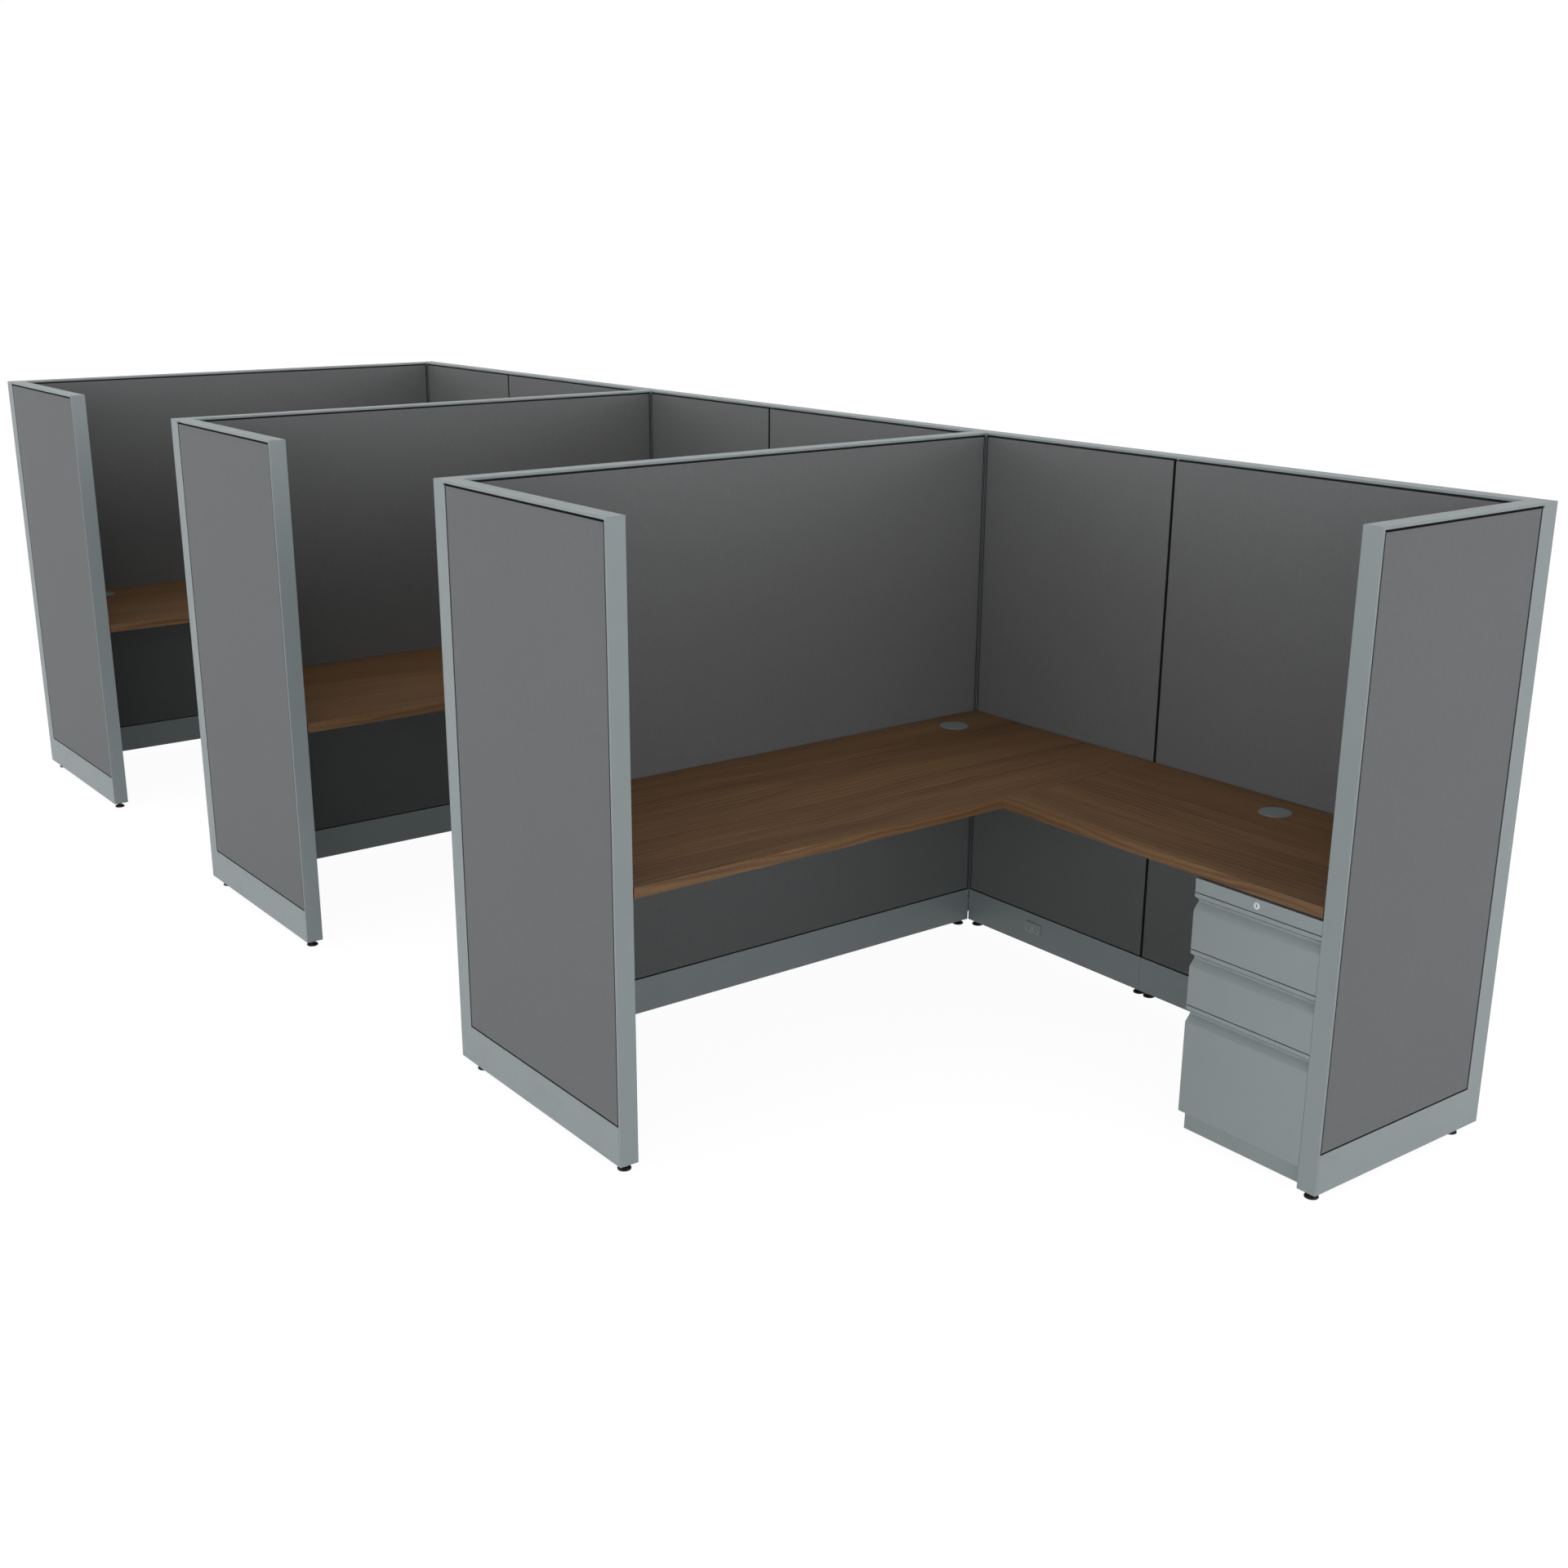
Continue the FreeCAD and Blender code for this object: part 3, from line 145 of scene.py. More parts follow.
class Tree:
    """A node tree of a material or a world."""

    def __init__(self, owner: "bpy.types.Material | bpy.types.World") -> None:
        owner.use_nodes = True
        self.nodes = owner.node_tree.nodes
        self.links = owner.node_tree.links

    def node(
        self,
        kind: str,
        settings: dict[str, object] | None = None,
        inputs: dict[str | int, object] | None = None,
        output: str | int = 0,
    ) -> Value:
        """Adds a node.

        Args:
            kind: The node's type.
            settings: Its own properties, set before its sockets.
            inputs: A value or a number for each socket, by name or place.
            output: The socket that is handed back.

        Returns:
            The chosen output.
        """
        made = self.nodes.new(kind)
        for key, setting in (settings or {}).items():
            if key == "stops":
                self._set_stops(made.color_ramp, setting)
            else:
                setattr(made, key, setting)
        for key, given in (inputs or {}).items():
            self.feed(made.inputs[key], given)
        return Value(self, made.outputs[output])

    @staticmethod
    def _set_stops(ramp: bpy.types.ColorRamp, stops: Sequence[tuple[float, Colour]]) -> None:
        """Gives a colour ramp its stops."""
        for index, (place, colour) in enumerate(stops):
            stop = ramp.elements[index] if index < 2 else ramp.elements.new(place)
            stop.position = place
            stop.color = (*colour, 1)

    def feed(self, socket: bpy.types.NodeSocket, given: object) -> None:
        """Links a value to a socket, or sets the number or colour on it."""
        if isinstance(given, Value):
            self.links.new(given.socket, socket)
        elif isinstance(given, tuple) and len(given) == 3 and socket.type == "RGBA":
            socket.default_value = (*given, 1)
        else:
            socket.default_value = given

    def mix(self, share: "Value | float", low: "Value | Colour", high: "Value | Colour") -> Value:
        """Mixes two colours.

        Args:
            share: How much of the second colour there is, from 0 to 1.
            low: The first colour.
            high: The second colour.

        Returns:
            The mixed colour.
        """
        settings = {"data_type": "RGBA", "clamp_factor": True}
        made = self.node("ShaderNodeMix", settings, {0: share}, 2)
        mixer = made.socket.node
        self.feed(mixer.inputs[6], low)
        self.feed(mixer.inputs[7], high)
        return made

    def scaled(self, colour: "Value | Colour", amount: Value) -> Value:
        """A colour made lighter or darker by an amount near 1."""
        return self.node("ShaderNodeVectorMath", {"operation": "SCALE"}, {0: colour, "Scale": amount})

    def backdrop_rays(self) -> Value:
        """Gives 1 for the rays that see the backdrop: from the camera, and through gloss or glass, else 0."""
        paths = self.node("ShaderNodeLightPath").socket.node.outputs
        kinds = ("Camera", "Glossy", "Transmission")
        camera, glossy, through = [Value(self, paths[f"Is {kind} Ray"]) for kind in kinds]
        return (camera + glossy + through) > 0.5

    def glow(self, kind: str, strength: "Value | float") -> Value:
        """A white light-giving shader of the kind named."""
        return self.node(kind, inputs={"Color": (1.0, 1.0, 1.0), "Strength": strength})

    def blend(self, share: "Value | float", first: Value, second: Value) -> Value:
        """Mixes two shaders."""
        return self.node("ShaderNodeMixShader", inputs={0: share, 1: first, 2: second})

    def parts(self, vector: Value) -> list[Value]:
        """The X, Y and Z of a vector."""
        first = self.node("ShaderNodeSeparateXYZ", inputs={0: vector})
        return [Value(self, out) for out in first.socket.node.outputs]

    def vector(self, x: "Value | float", y: "Value | float", z: "Value | float") -> Value:
        """A vector from its three parts."""
        return self.node("ShaderNodeCombineXYZ", inputs={0: x, 1: y, 2: z})

    def noise(self, where: Value, scale: float, detail: float = 2, roughness: float = 0.5) -> Value:
        """Cloudy noise between 0 and 1, with about the given number of blots to a metre."""
        inputs = {"Vector": where, "Scale": scale, "Detail": detail, "Roughness": roughness}
        return self.node("ShaderNodeTexNoise", inputs=inputs)


class Surface(Tree):
    """The node tree of one material, with its principled shader."""

    def __init__(self, name: str) -> None:
        self.material = bpy.data.materials.new(name)
        super().__init__(self.material)
        self.shader = self.nodes["Principled BSDF"]
        self.surface = self.nodes["Material Output"].inputs["Surface"]

    def place(self) -> Value:
        """The point of the surface, in the piece's own frame."""
        return self.node("ShaderNodeTexCoord", output="Object")

    def bump(self, height: Value, depth: float, strength: float = 1) -> None:
        """Raises the surface by a height of 0 to 1 times a depth in metres."""
        inputs = {"Height": height, "Distance": depth, "Strength": strength}
        self.feed(self.shader.inputs["Normal"], self.node("ShaderNodeBump", inputs=inputs))

    def shade(self, **sockets: object) -> bpy.types.Material:
        """Sets the shader's sockets, with spaces for underscores, and hands back the material."""
        for key, given in sockets.items():
            self.feed(self.shader.inputs[key.replace("_", " ")], given)
        return self.material


# Finishes


@dataclass(frozen=True)
class WovenFabric:
    """Plain-woven panel cloth of mixed grey yarns."""

    name: str
    colour: Colour
    yarn_pitch: float = 2.2 * MM
    heather: float = 0.16
    relief: float = 0.25 * MM
    sheen: float = 0.12

    def build(self) -> bpy.types.Material:
        """Makes the material."""
        tree = Surface(self.name)
        x, y, z = tree.parts(tree.place())
        along = x + y
        turn = math.pi / self.yarn_pitch
        warp = (along * turn).sine()
        weft = (z * turn).sine()
        over = warp * weft
        weave = abs(warp) * (over > 0) + abs(weft) * (1 - (over > 0))
        flat = tree.vector(along, z, 0.0)
        weft_yarn = tree.noise(tree.vector(along * 0.12, z, 0.0), 1 / self.yarn_pitch, 1)
        warp_yarn = tree.noise(tree.vector(along, z * 0.12, 3.0), 1 / self.yarn_pitch, 1)
        cloud = tree.noise(flat, 2.4, 3)
        tone = 1 + (weft_yarn + warp_yarn - 1) * self.heather + (cloud - 0.5) * 0.05 + (weave - 0.6) * 0.08
        fuzz = tree.noise(flat, 2600, 2)
        tree.bump(weave * 0.8 + fuzz * 0.2, self.relief, 0.5)
        return tree.shade(
            Base_Color=tree.scaled(self.colour, tone),
            Roughness=0.96,
            Sheen_Weight=self.sheen,
            Sheen_Roughness=0.6,
            Specular_IOR_Level=0.15,
        )


@dataclass(frozen=True)
class SatinPaint:
    """Powder coat on sheet metal: an even colour, fine orange peel and faint handling marks."""

    name: str
    colour: Colour
    roughness: float = 0.46
    peel_depth: float = 0.03 * MM
    gloss: float = 0.4

    def build(self) -> bpy.types.Material:
        """Makes the material."""
        tree = Surface(self.name)
        where = tree.place()
        peel = tree.noise(where, 420, 2)
        cloud = tree.noise(where, 3.2, 3)
        marks = tree.noise(where, 14, 4, 0.62).ramp(0.45, 0.75)
        tone = 1 + (cloud - 0.5) * 0.05 - marks * 0.015 + (peel - 0.5) * 0.03
        tree.bump(peel, self.peel_depth, 0.5)
        return tree.shade(
            Base_Color=tree.scaled(self.colour, tone),
            Roughness=self.roughness + (cloud - 0.5) * 0.08 + marks * 0.07,
            Specular_IOR_Level=self.gloss,
        )


class Grain(Enum):
    """Which way the wood grain runs."""

    ALONG_X = "x"
    ALONG_Y = "y"
    AROUND_EDGE = "edge"


@dataclass(frozen=True)
class WalnutLaminate:
    """Printed walnut laminate with a matt sealed face, and a dark backing sheet underneath."""

    name: str
    grain: Grain
    dark: Colour = (0.092, 0.044, 0.017)
    middle: Colour = (0.204, 0.112, 0.046)
    light: Colour = (0.330, 0.196, 0.086)
    backing: Colour = (0.050, 0.040, 0.034)
    roughness: float = 0.42
    brightness: float = 1.0

    def _plane(self, tree: Surface) -> tuple[Value, Value]:
        """The distances along and across the grain."""
        x, y, z = tree.parts(tree.place())
        if self.grain is Grain.ALONG_X:
            return x, y + z
        if self.grain is Grain.ALONG_Y:
            return y, x + z
        facing = abs(tree.parts(tree.node("ShaderNodeNewGeometry", output="True Normal"))[0]) > 0.5
        along = y * facing + x * (1 - facing)
        across = x * facing + y * (1 - facing)
        return along, across + z

    def build(self) -> bpy.types.Material:
        """Makes the material."""
        tree = Surface(self.name)
        along, across = self._plane(tree)
        sway = tree.noise(tree.vector(along * 0.9, across * 2.2, 0.0), 1.7, 3)
        bent = across + (sway - 0.5) * 0.085
        broad = tree.noise(tree.vector(along * 0.55, bent * 9.0, 4.0), 1.6, 4, 0.55)
        bands = ((bent * 300 + broad * 11).sine() * 0.5 + 0.5) * 0.34
        streaks = tree.noise(tree.vector(along * 2.6, bent * 160, 1.0), 1, 5, 0.62)
        threads = tree.noise(tree.vector(along * 9, bent * 900, 2.0), 1, 3, 0.6)
        pores = tree.noise(tree.vector(along * 42, bent * 1500, 7.0), 1, 1).ramp(0.60, 0.72)
        tone = broad * 0.52 + bands * 0.42 + streaks * 0.55 + threads * 0.22 - 0.42
        wood = tree.node(
            "ShaderNodeValToRGB",
            {"stops": ((0.12, self.dark), (0.48, self.middle), (0.88, self.light))},
            {0: tone},
        )
        rosy = tree.noise(tree.vector(along * 0.8, bent * 14, 9.0), 1, 2)
        blush = tuple(c * t for c, t in zip(self.light, (0.92, 0.76, 0.70)))
        wood = tree.mix(rosy.ramp(0.52, 0.80) * 0.25, wood, blush)
        wood = tree.scaled(wood, self.brightness - pores * 0.38)
        if self.grain is not Grain.AROUND_EDGE:
            up = tree.parts(tree.node("ShaderNodeNewGeometry", output="True Normal"))[2]
            under = (0 - up) > 0.5
            wood = tree.mix(under, wood, self.backing)
        tree.bump(1 - pores * 0.6 - (1 - threads) * 0.2, 0.04 * MM, 0.6)
        return tree.shade(
            Base_Color=wood,
            Roughness=self.roughness + streaks * 0.10 + pores * 0.15,
            Specular_IOR_Level=0.35,
        )


@dataclass(frozen=True)
class MouldedPlastic:
    """Moulded plastic with a fine eroded grain."""

    name: str
    colour: Colour
    roughness: float = 0.5
    grain_depth: float = 0.02 * MM

    def build(self) -> bpy.types.Material:
        """Makes the material."""
        tree = Surface(self.name)
        where = tree.place()
        grain = tree.noise(where, 1500, 2)
        cloud = tree.noise(where, 30, 3)
        tree.bump(grain, self.grain_depth, 0.6)
        return tree.shade(
            Base_Color=tree.scaled(self.colour, 1 + (grain - 0.5) * 0.08 + (cloud - 0.5) * 0.05),
            Roughness=self.roughness + (cloud - 0.5) * 0.12,
            Specular_IOR_Level=0.4,
        )


@dataclass(frozen=True)
class PlatedSteel:
    """Zinc or nickel plate on steel, with fine rolling lines and cloudy patches."""

    name: str
    colour: Colour
    roughness: float = 0.38
    cloudiness: float = 0.14

    def build(self) -> bpy.types.Material:
        """Makes the material."""
        tree = Surface(self.name)
        where = tree.place()
        x, y, z = tree.parts(where)
        lines = tree.noise(tree.vector(x * 40, y * 40, z * 2600), 1, 2)
        cloud = tree.noise(where, 60, 3)
        tree.bump(lines, 0.01 * MM, 0.5)
        return tree.shade(
            Base_Color=tree.scaled(self.colour, 1 + (cloud - 0.5) * self.cloudiness + (lines - 0.5) * 0.06),
            Metallic=1.0,
            Roughness=self.roughness + (cloud - 0.5) * 0.16 + (lines - 0.5) * 0.08,
        )


@dataclass(frozen=True)
class FibreBoard:
    """Pressed glass-fibre board, seen only where the panels are open."""

    name: str
    colour: Colour

    def build(self) -> bpy.types.Material:
        """Makes the material."""
        tree = Surface(self.name)
        x, y, z = tree.parts(tree.place())
        strands = tree.noise(tree.vector(x * 90, y * 90, z * 700), 1, 4, 0.7)
        clumps = tree.noise(tree.vector(x, y, z), 55, 3)
        tree.bump(strands, 0.6 * MM, 0.8)
        tone = 1 + (strands - 0.5) * 0.35 + (clumps - 0.5) * 0.2
        return tree.shade(Base_Color=tree.scaled(self.colour, tone), Roughness=0.98, Specular_IOR_Level=0.1)


FABRIC = WovenFabric("panel_cloth", (0.150, 0.154, 0.157))
TRIM = SatinPaint("trim_paint", (0.266, 0.307, 0.316))
CASE = SatinPaint("pedestal_paint", (0.278, 0.318, 0.322), roughness=0.44)
DRAWER = SatinPaint("drawer_paint", (0.20, 0.225, 0.23), roughness=0.5)
FRAME_STEEL = SatinPaint("frame_paint", (0.022, 0.024, 0.025), roughness=0.6)
BRACKET = SatinPaint("bracket_paint", (0.050, 0.054, 0.055), roughness=0.5)
MAIN_TOP = WalnutLaminate("walnut_along_y", Grain.ALONG_Y, brightness=1.10)
SIDE_TOP = WalnutLaminate("walnut_along_x", Grain.ALONG_X, brightness=1.10)
EDGE = WalnutLaminate("walnut_edge", Grain.AROUND_EDGE, roughness=0.48, brightness=1.05)
ZINC = PlatedSteel("zinc_plate", (0.56, 0.57, 0.58))
NICKEL = PlatedSteel("lock_nickel", (0.78, 0.79, 0.79), roughness=0.30, cloudiness=0.05)
GLASS_FIBRE = FibreBoard("glass_fibre", (0.52, 0.43, 0.22))
GROMMET = MouldedPlastic("grommet_plastic", (0.205, 0.238, 0.248), roughness=0.45)
OUTLET = MouldedPlastic("outlet_plastic", (0.315, 0.355, 0.362), roughness=0.42)
# Black for the bead and strips round each tile: painted shade in the gaps.
GAP_SHADE = MouldedPlastic("tile_gasket", (0.018, 0.018, 0.019), roughness=0.7)
FEED = MouldedPlastic("feed_plastic", (0.035, 0.036, 0.038))
FOOT = MouldedPlastic("glide_plastic", (0.008, 0.008, 0.008), roughness=0.55)
RUBBER = MouldedPlastic("pad_rubber", (0.012, 0.012, 0.012), roughness=0.8)
# Black for the bottom of each lock's keyway: painted shade.
KEYWAY_SHADE = MouldedPlastic("keyway_shadow", (0.010, 0.010, 0.010), roughness=0.7)


# Meshes


@dataclass(frozen=True)
class Box:
    """An upright box around one solid."""

    low: Vector
    high: Vector

    @property
    def size(self) -> Vector:
        """Its lengths along X, Y and Z."""
        return self.high - self.low

    @property
    def centre(self) -> Vector:
        """The point in its middle."""
        return (self.low + self.high) / 2


class MeshMaker:
    """Collects vertices and faces of one piece."""

    def __init__(self) -> None:
        self.points: list[Point] = []
        self.faces: list[tuple[int, ...]] = []

    def ring(self, points: Iterable[Point]) -> list[int]:
        """Adds a ring of points and gives their numbers."""
        first = len(self.points)
        self.points.extend(points)
        return list(range(first, len(self.points)))

    def bridge(self, lower: Sequence[int], upper: Sequence[int]) -> None:
        """Joins two rings of the same length with a band of faces."""
        count = len(lower)
        for i in range(count):
            j = (i + 1) % count
            self.faces.append((lower[i], lower[j], upper[j], upper[i]))

    def tube(self, rings: Sequence[Iterable[Point]]) -> None:
        """Joins rings in a row and closes both ends."""
        made = [self.ring(ring) for ring in rings]
        for lower, upper in zip(made, made[1:]):
            self.bridge(lower, upper)
        self.faces.append(tuple(reversed(made[0])))
        self.faces.append(tuple(made[-1]))

    def mesh(self, name: str, place: Matrix = Matrix.Identity(4)) -> bpy.types.Mesh:
        """Makes the mesh.

        Args:
            name: Its name.
            place: Where it stands.

        Returns:
            The mesh, with smooth shading between its sharp edges.
        """
        made = bpy.data.meshes.new(name)
        made.from_pydata(self.points, [], self.faces)
        made.transform(place)
        work = bmesh.new()
        work.from_mesh(made)
        bmesh.ops.recalc_face_normals(work, faces=work.faces)
        work.to_mesh(made)
        work.free()
        made.shade_smooth()
        made.set_sharp_from_angle(angle=CREASE)
        return made


def rounded_rectangle(
    width: float, height: float, radius: float, level: float, steps: int = 4
) -> list[Point]:
    """A ring round a rectangle in the XY plane, centred on the origin.

    Args:
        width: Its length along X.
        height: Its length along Y.
        radius: The radius of its corners.
        level: The height of the ring along Z.
        steps: The number of edges to a corner.

    Returns:
        The ring's points, anticlockwise.
    """
    points = []
    for corner in range(4):
        start = corner * math.pi / 2
        cx = (width / 2 - radius) * (1 if corner in (0, 3) else -1)
        cy = (height / 2 - radius) * (1 if corner in (0, 1) else -1)
        for step in range(steps + 1):
            angle = start + step * math.pi / 2 / steps
            points.append((cx + radius * math.cos(angle), cy + radius * math.sin(angle), level))
    return points


def circle(radius: float, level: float, count: int) -> list[Point]:
    """A ring of points round the Z axis."""
    angles = [i * 2 * math.pi / count for i in range(count)]
    return [(radius * math.cos(a), radius * math.sin(a), level) for a in angles]


def solids_of(node: str) -> list[Box]:
    """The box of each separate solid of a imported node, in the order of their places.

    Args:
        node: The node's name.

    Returns:
        One box for each solid.
    """
    weld = 0.02 * MM
    mesh = frame["nodes"][node].data
    points = np.empty(len(mesh.vertices) * 3, np.float32)
    mesh.vertices.foreach_get("co", points)
    points = points.reshape(-1, 3)
    _, same = np.unique(np.round(points / weld).astype(np.int64), axis=0, return_inverse=True)
    same = same.ravel()
    edges = np.empty(len(mesh.edges) * 2, np.int32)
    mesh.edges.foreach_get("vertices", edges)
    ends = same[edges.reshape(-1, 2)]
    label = np.arange(same.max() + 1)
    while True:
        least = np.minimum(label[ends[:, 0]], label[ends[:, 1]])
        fresh = label.copy()
        np.minimum.at(fresh, ends[:, 0], least)
        np.minimum.at(fresh, ends[:, 1], least)
        fresh = fresh[fresh]
        if (fresh == label).all():
            break
        label = fresh
    groups = label[same]
    boxes = []
    for group in np.unique(groups):
        own = points[groups == group]
        boxes.append(Box(Vector(own.min(0).tolist()), Vector(own.max(0).tolist())))
    return sorted(boxes, key=lambda box: tuple(round(c, 4) for c in box.centre))


def facing_bay(x: float, y: float, z: float) -> Matrix:
    """Carries a shape drawn in XY, rising along Z, to a place on a face that looks along -Y."""
    turn = Matrix(((1, 0, 0), (0, 0, -1), (0, 1, 0))).to_4x4()
    return Matrix.Translation((x, y, z)) @ turn


def add_object(name: str, data: bpy.types.ID) -> bpy.types.Object:
    """Makes an object and links it to the scene."""
    made = bpy.data.objects.new(name, data)
    bpy.context.scene.collection.objects.link(made)
    return made


def carved(mesh: bpy.types.Mesh, cutters: Sequence[bpy.types.Mesh]) -> bpy.types.Mesh:
    """Cuts shapes out of a mesh.

    Args:
        mesh: The closed mesh that is cut. Shells in it that overlap are joined first.
        cutters: The closed meshes that are taken away.

    Returns:
        A new mesh.
    """
    holder = add_object("carving", mesh)
    tools = []
    for cutter in cutters:
        tool = add_object("cutter", cutter)
        cut = holder.modifiers.new("cut", "BOOLEAN")
        cut.operation = "DIFFERENCE"
        cut.solver = "EXACT"
        cut.use_self = True
        cut.object = tool
        tools.append(tool)
    graph = bpy.context.evaluated_depsgraph_get()
    made = bpy.data.meshes.new_from_object(holder.evaluated_get(graph))
    made.name = mesh.name + "_carved"
    for used in [holder, *tools]:
        bpy.data.objects.remove(used)
    made.shade_smooth()
    made.set_sharp_from_angle(angle=CREASE)
    return made


def add_piece(
    name: str,
    mesh: bpy.types.Mesh,
    material: bpy.types.Material,
    body: str,
    stands_for: str | None = None,
) -> bpy.types.Object:
    """Adds a piece to the scene and fixes it to a body.

    Args:
        name: The piece's name.
        mesh: Its mesh, already in place.
        material: Its finish.
        body: The body that it moves with.
        stands_for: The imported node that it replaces.

    Returns:
        The new object.
    """
    piece = add_object(name, mesh)
    mesh.materials.clear()
    mesh.materials.append(material)
    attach(piece, body)
    if stands_for:
        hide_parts(stands_for)
    log.info("piece %s on %s: %d vertices", name, body, len(mesh.vertices))
    return piece


class Wardrobe:
    """Keeps one material for each finish."""

    def __init__(self) -> None:
        self.made: dict[str, bpy.types.Material] = {}

    def material(self, finish: object) -> bpy.types.Material:
        """The material of a finish, made when it is first asked for."""
        if finish.name not in self.made:
            self.made[finish.name] = finish.build()
        return self.made[finish.name]

    def dress(self, finish: object, *nodes: str) -> None:
        """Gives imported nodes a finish."""
        for node in nodes:
            for holder in frame["nodes"][node].material_slots:
                holder.material = self.material(finish)
            log.info("node %s wears %s", node, finish.name)


# Sub-assemblies


@dataclass
class Panels:
    """The frames, posts, caps, covers and trims, and the cloth-wrapped tiles that hang on them."""

    wardrobe: Wardrobe
    edge_radius: float = 1.2 * MM
    corner_radius: float = 1.6 * MM
    crown: float = 0.4 * MM
    edge_steps: int = 5
    pair_spacing: float = 40 * MM
    crown_rings: tuple[tuple[float, float], ...] = ((12 * MM, 0.35), (40 * MM, 0.75), (110 * MM, 1.0))
    # The black bead and strips round each tile, as painted shade for the gaps; the bead also stands for the
    # tile's edge binding.
    binding_and_shade_bead: tuple[tuple[float, float], ...] = (
        (0.25 * MM, -0.55 * MM),
        (0.1 * MM, -0.35 * MM),
        (-0.45 * MM, -0.3 * MM),
    )
    shade_strip: float = 0.3 * MM
    shade_strip_play: float = 0.05 * MM
    shade_strip_recess: float = 0.6 * MM
    shade_strip_back: float = 0.75 * MM
    corner_shade_strip: tuple[float, float] = (0.2 * MM, 3.8 * MM)
    corner_shade_level: float = 0.5 * MM
    side_shade_reach: float = 2.4 * MM
    side_shade_levels: tuple[float, float] = (-1.0 * MM, 0.12 * MM)
    side_reveal: float = 3.0 * MM
    top_reveal: float = 6.0 * MM
    bottom_reveal: float = 3.8 * MM
    seam_gap: float = 12 * MM
    corner_reach: tuple[float, float] = (20 * MM, 40 * MM)

    def build(self) -> None:
        """Makes the tiles and dresses the metal."""
        self.build_tiles()
        self.wardrobe.dress(TRIM, "raceway_covers", "top_caps", "end_trims", "connector_posts")
        self.wardrobe.dress(FRAME_STEEL, "slotted_stiles", "frame_rails")
        self.wardrobe.dress(GLASS_FIBRE, "acoustic_cores")
        self.wardrobe.dress(ZINC, "frame_fasteners", "joining_plates")
        self.wardrobe.dress(FEED, "power_feed")

    def build_tiles(self) -> None:
        """Wraps each tile: rolled edges, soft corners and a slightly full face; and sets a black bead and
        strips round it as painted shade for the gaps.
        """
        boxes = solids_of("fabric_tiles")
        for number, box in enumerate(boxes, 1):
            outward = self.outward(box, boxes)
            name = f"fabric_tile_{number:02d}"
            mesh = self.tile_mesh(name, box, outward)
            add_piece(name, mesh, self.wardrobe.material(FABRIC), "station", "fabric_tiles")
            # A black bead and strips round the tile: painted shade for the gaps round it.
            name = f"tile_gasket_{number:02d}"
            mesh = self.gap_shade_mesh(name, box, outward, boxes)
            add_piece(name, mesh, self.wardrobe.material(GAP_SHADE), "station")

    def outward(self, box: Box, boxes: Sequence[Box]) -> Vector:
        """The way a tile faces: away from the tile on the other side of its panel."""
        axis = 0 if box.size.x < box.size.y else 1
        for other in boxes:
            step = box.centre - other.centre
            aside = step.copy()
            aside[axis] = 0
            if aside.length < MM and abs(abs(step[axis]) - self.pair_spacing) < MM:
                return Vector([math.copysign(1, step[i]) if i == axis else 0 for i in range(3)])
        raise ValueError(f"the tile at {box.centre} has no partner")

    @staticmethod
    def standing(box: Box, outward: Vector) -> tuple[Matrix, Vector]:
        """Where a tile stands.

        Args:
            box: The tile's box.
            outward: The way it faces.

        Returns:
            A frame on the middle of its back, with X along it, Y up and Z outward, and its size
            in that frame.
        """
        along = UP.cross(outward)
        depth = abs(box.size.dot(outward))
        turn = Matrix((along, UP, outward)).transposed().to_4x4()
        back = box.centre - outward * depth / 2
        return Matrix.Translation(back) @ turn, Vector((abs(box.size.dot(along)), box.size.z, depth))

    def tile_mesh(self, name: str, box: Box, outward: Vector) -> bpy.types.Mesh:
        """One wrapped tile, from its flat back to its crowned face."""
        place, (width, height, depth) = self.standing(box, outward)
        rim = depth - self.crown
        levels = [(0.0, 0.0), (0.0, rim - self.edge_radius)]
        for step in range(1, self.edge_steps + 1):
            angle = step * math.pi / 2 / self.edge_steps
            rise = self.edge_radius * math.sin(angle)
            levels.append((self.edge_radius * (1 - math.cos(angle)), rim - self.edge_radius + rise))
        levels += [(inset, rim + share * self.crown) for inset, share in self.crown_rings]
        maker = MeshMaker()
        least = self.corner_radius - self.edge_radius
        rings = []
        for inset, level in levels:
            corner = max(self.corner_radius - inset, least)
            rings.append(rounded_rectangle(width - 2 * inset, height - 2 * inset, corner, level))
        maker.tube(rings)
        return maker.mesh(name, place)

    def seam_sides(self, box: Box, outward: Vector, boxes: Sequence[Box]) -> set[int]:
        """The sides of a tile, -1 or 1 along it, where the next tile of the same wall begins."""
        along = UP.cross(outward)
        sides = set()
        for other in boxes:
            step = other.centre - box.centre
            reach = step.dot(along)
            gap = abs(reach) - abs((box.size + other.size).dot(along)) / 2
            if abs(step.dot(outward)) < MM and abs(reach) > MM and gap < self.seam_gap:
                sides.add(int(math.copysign(1, reach)))
        return sides

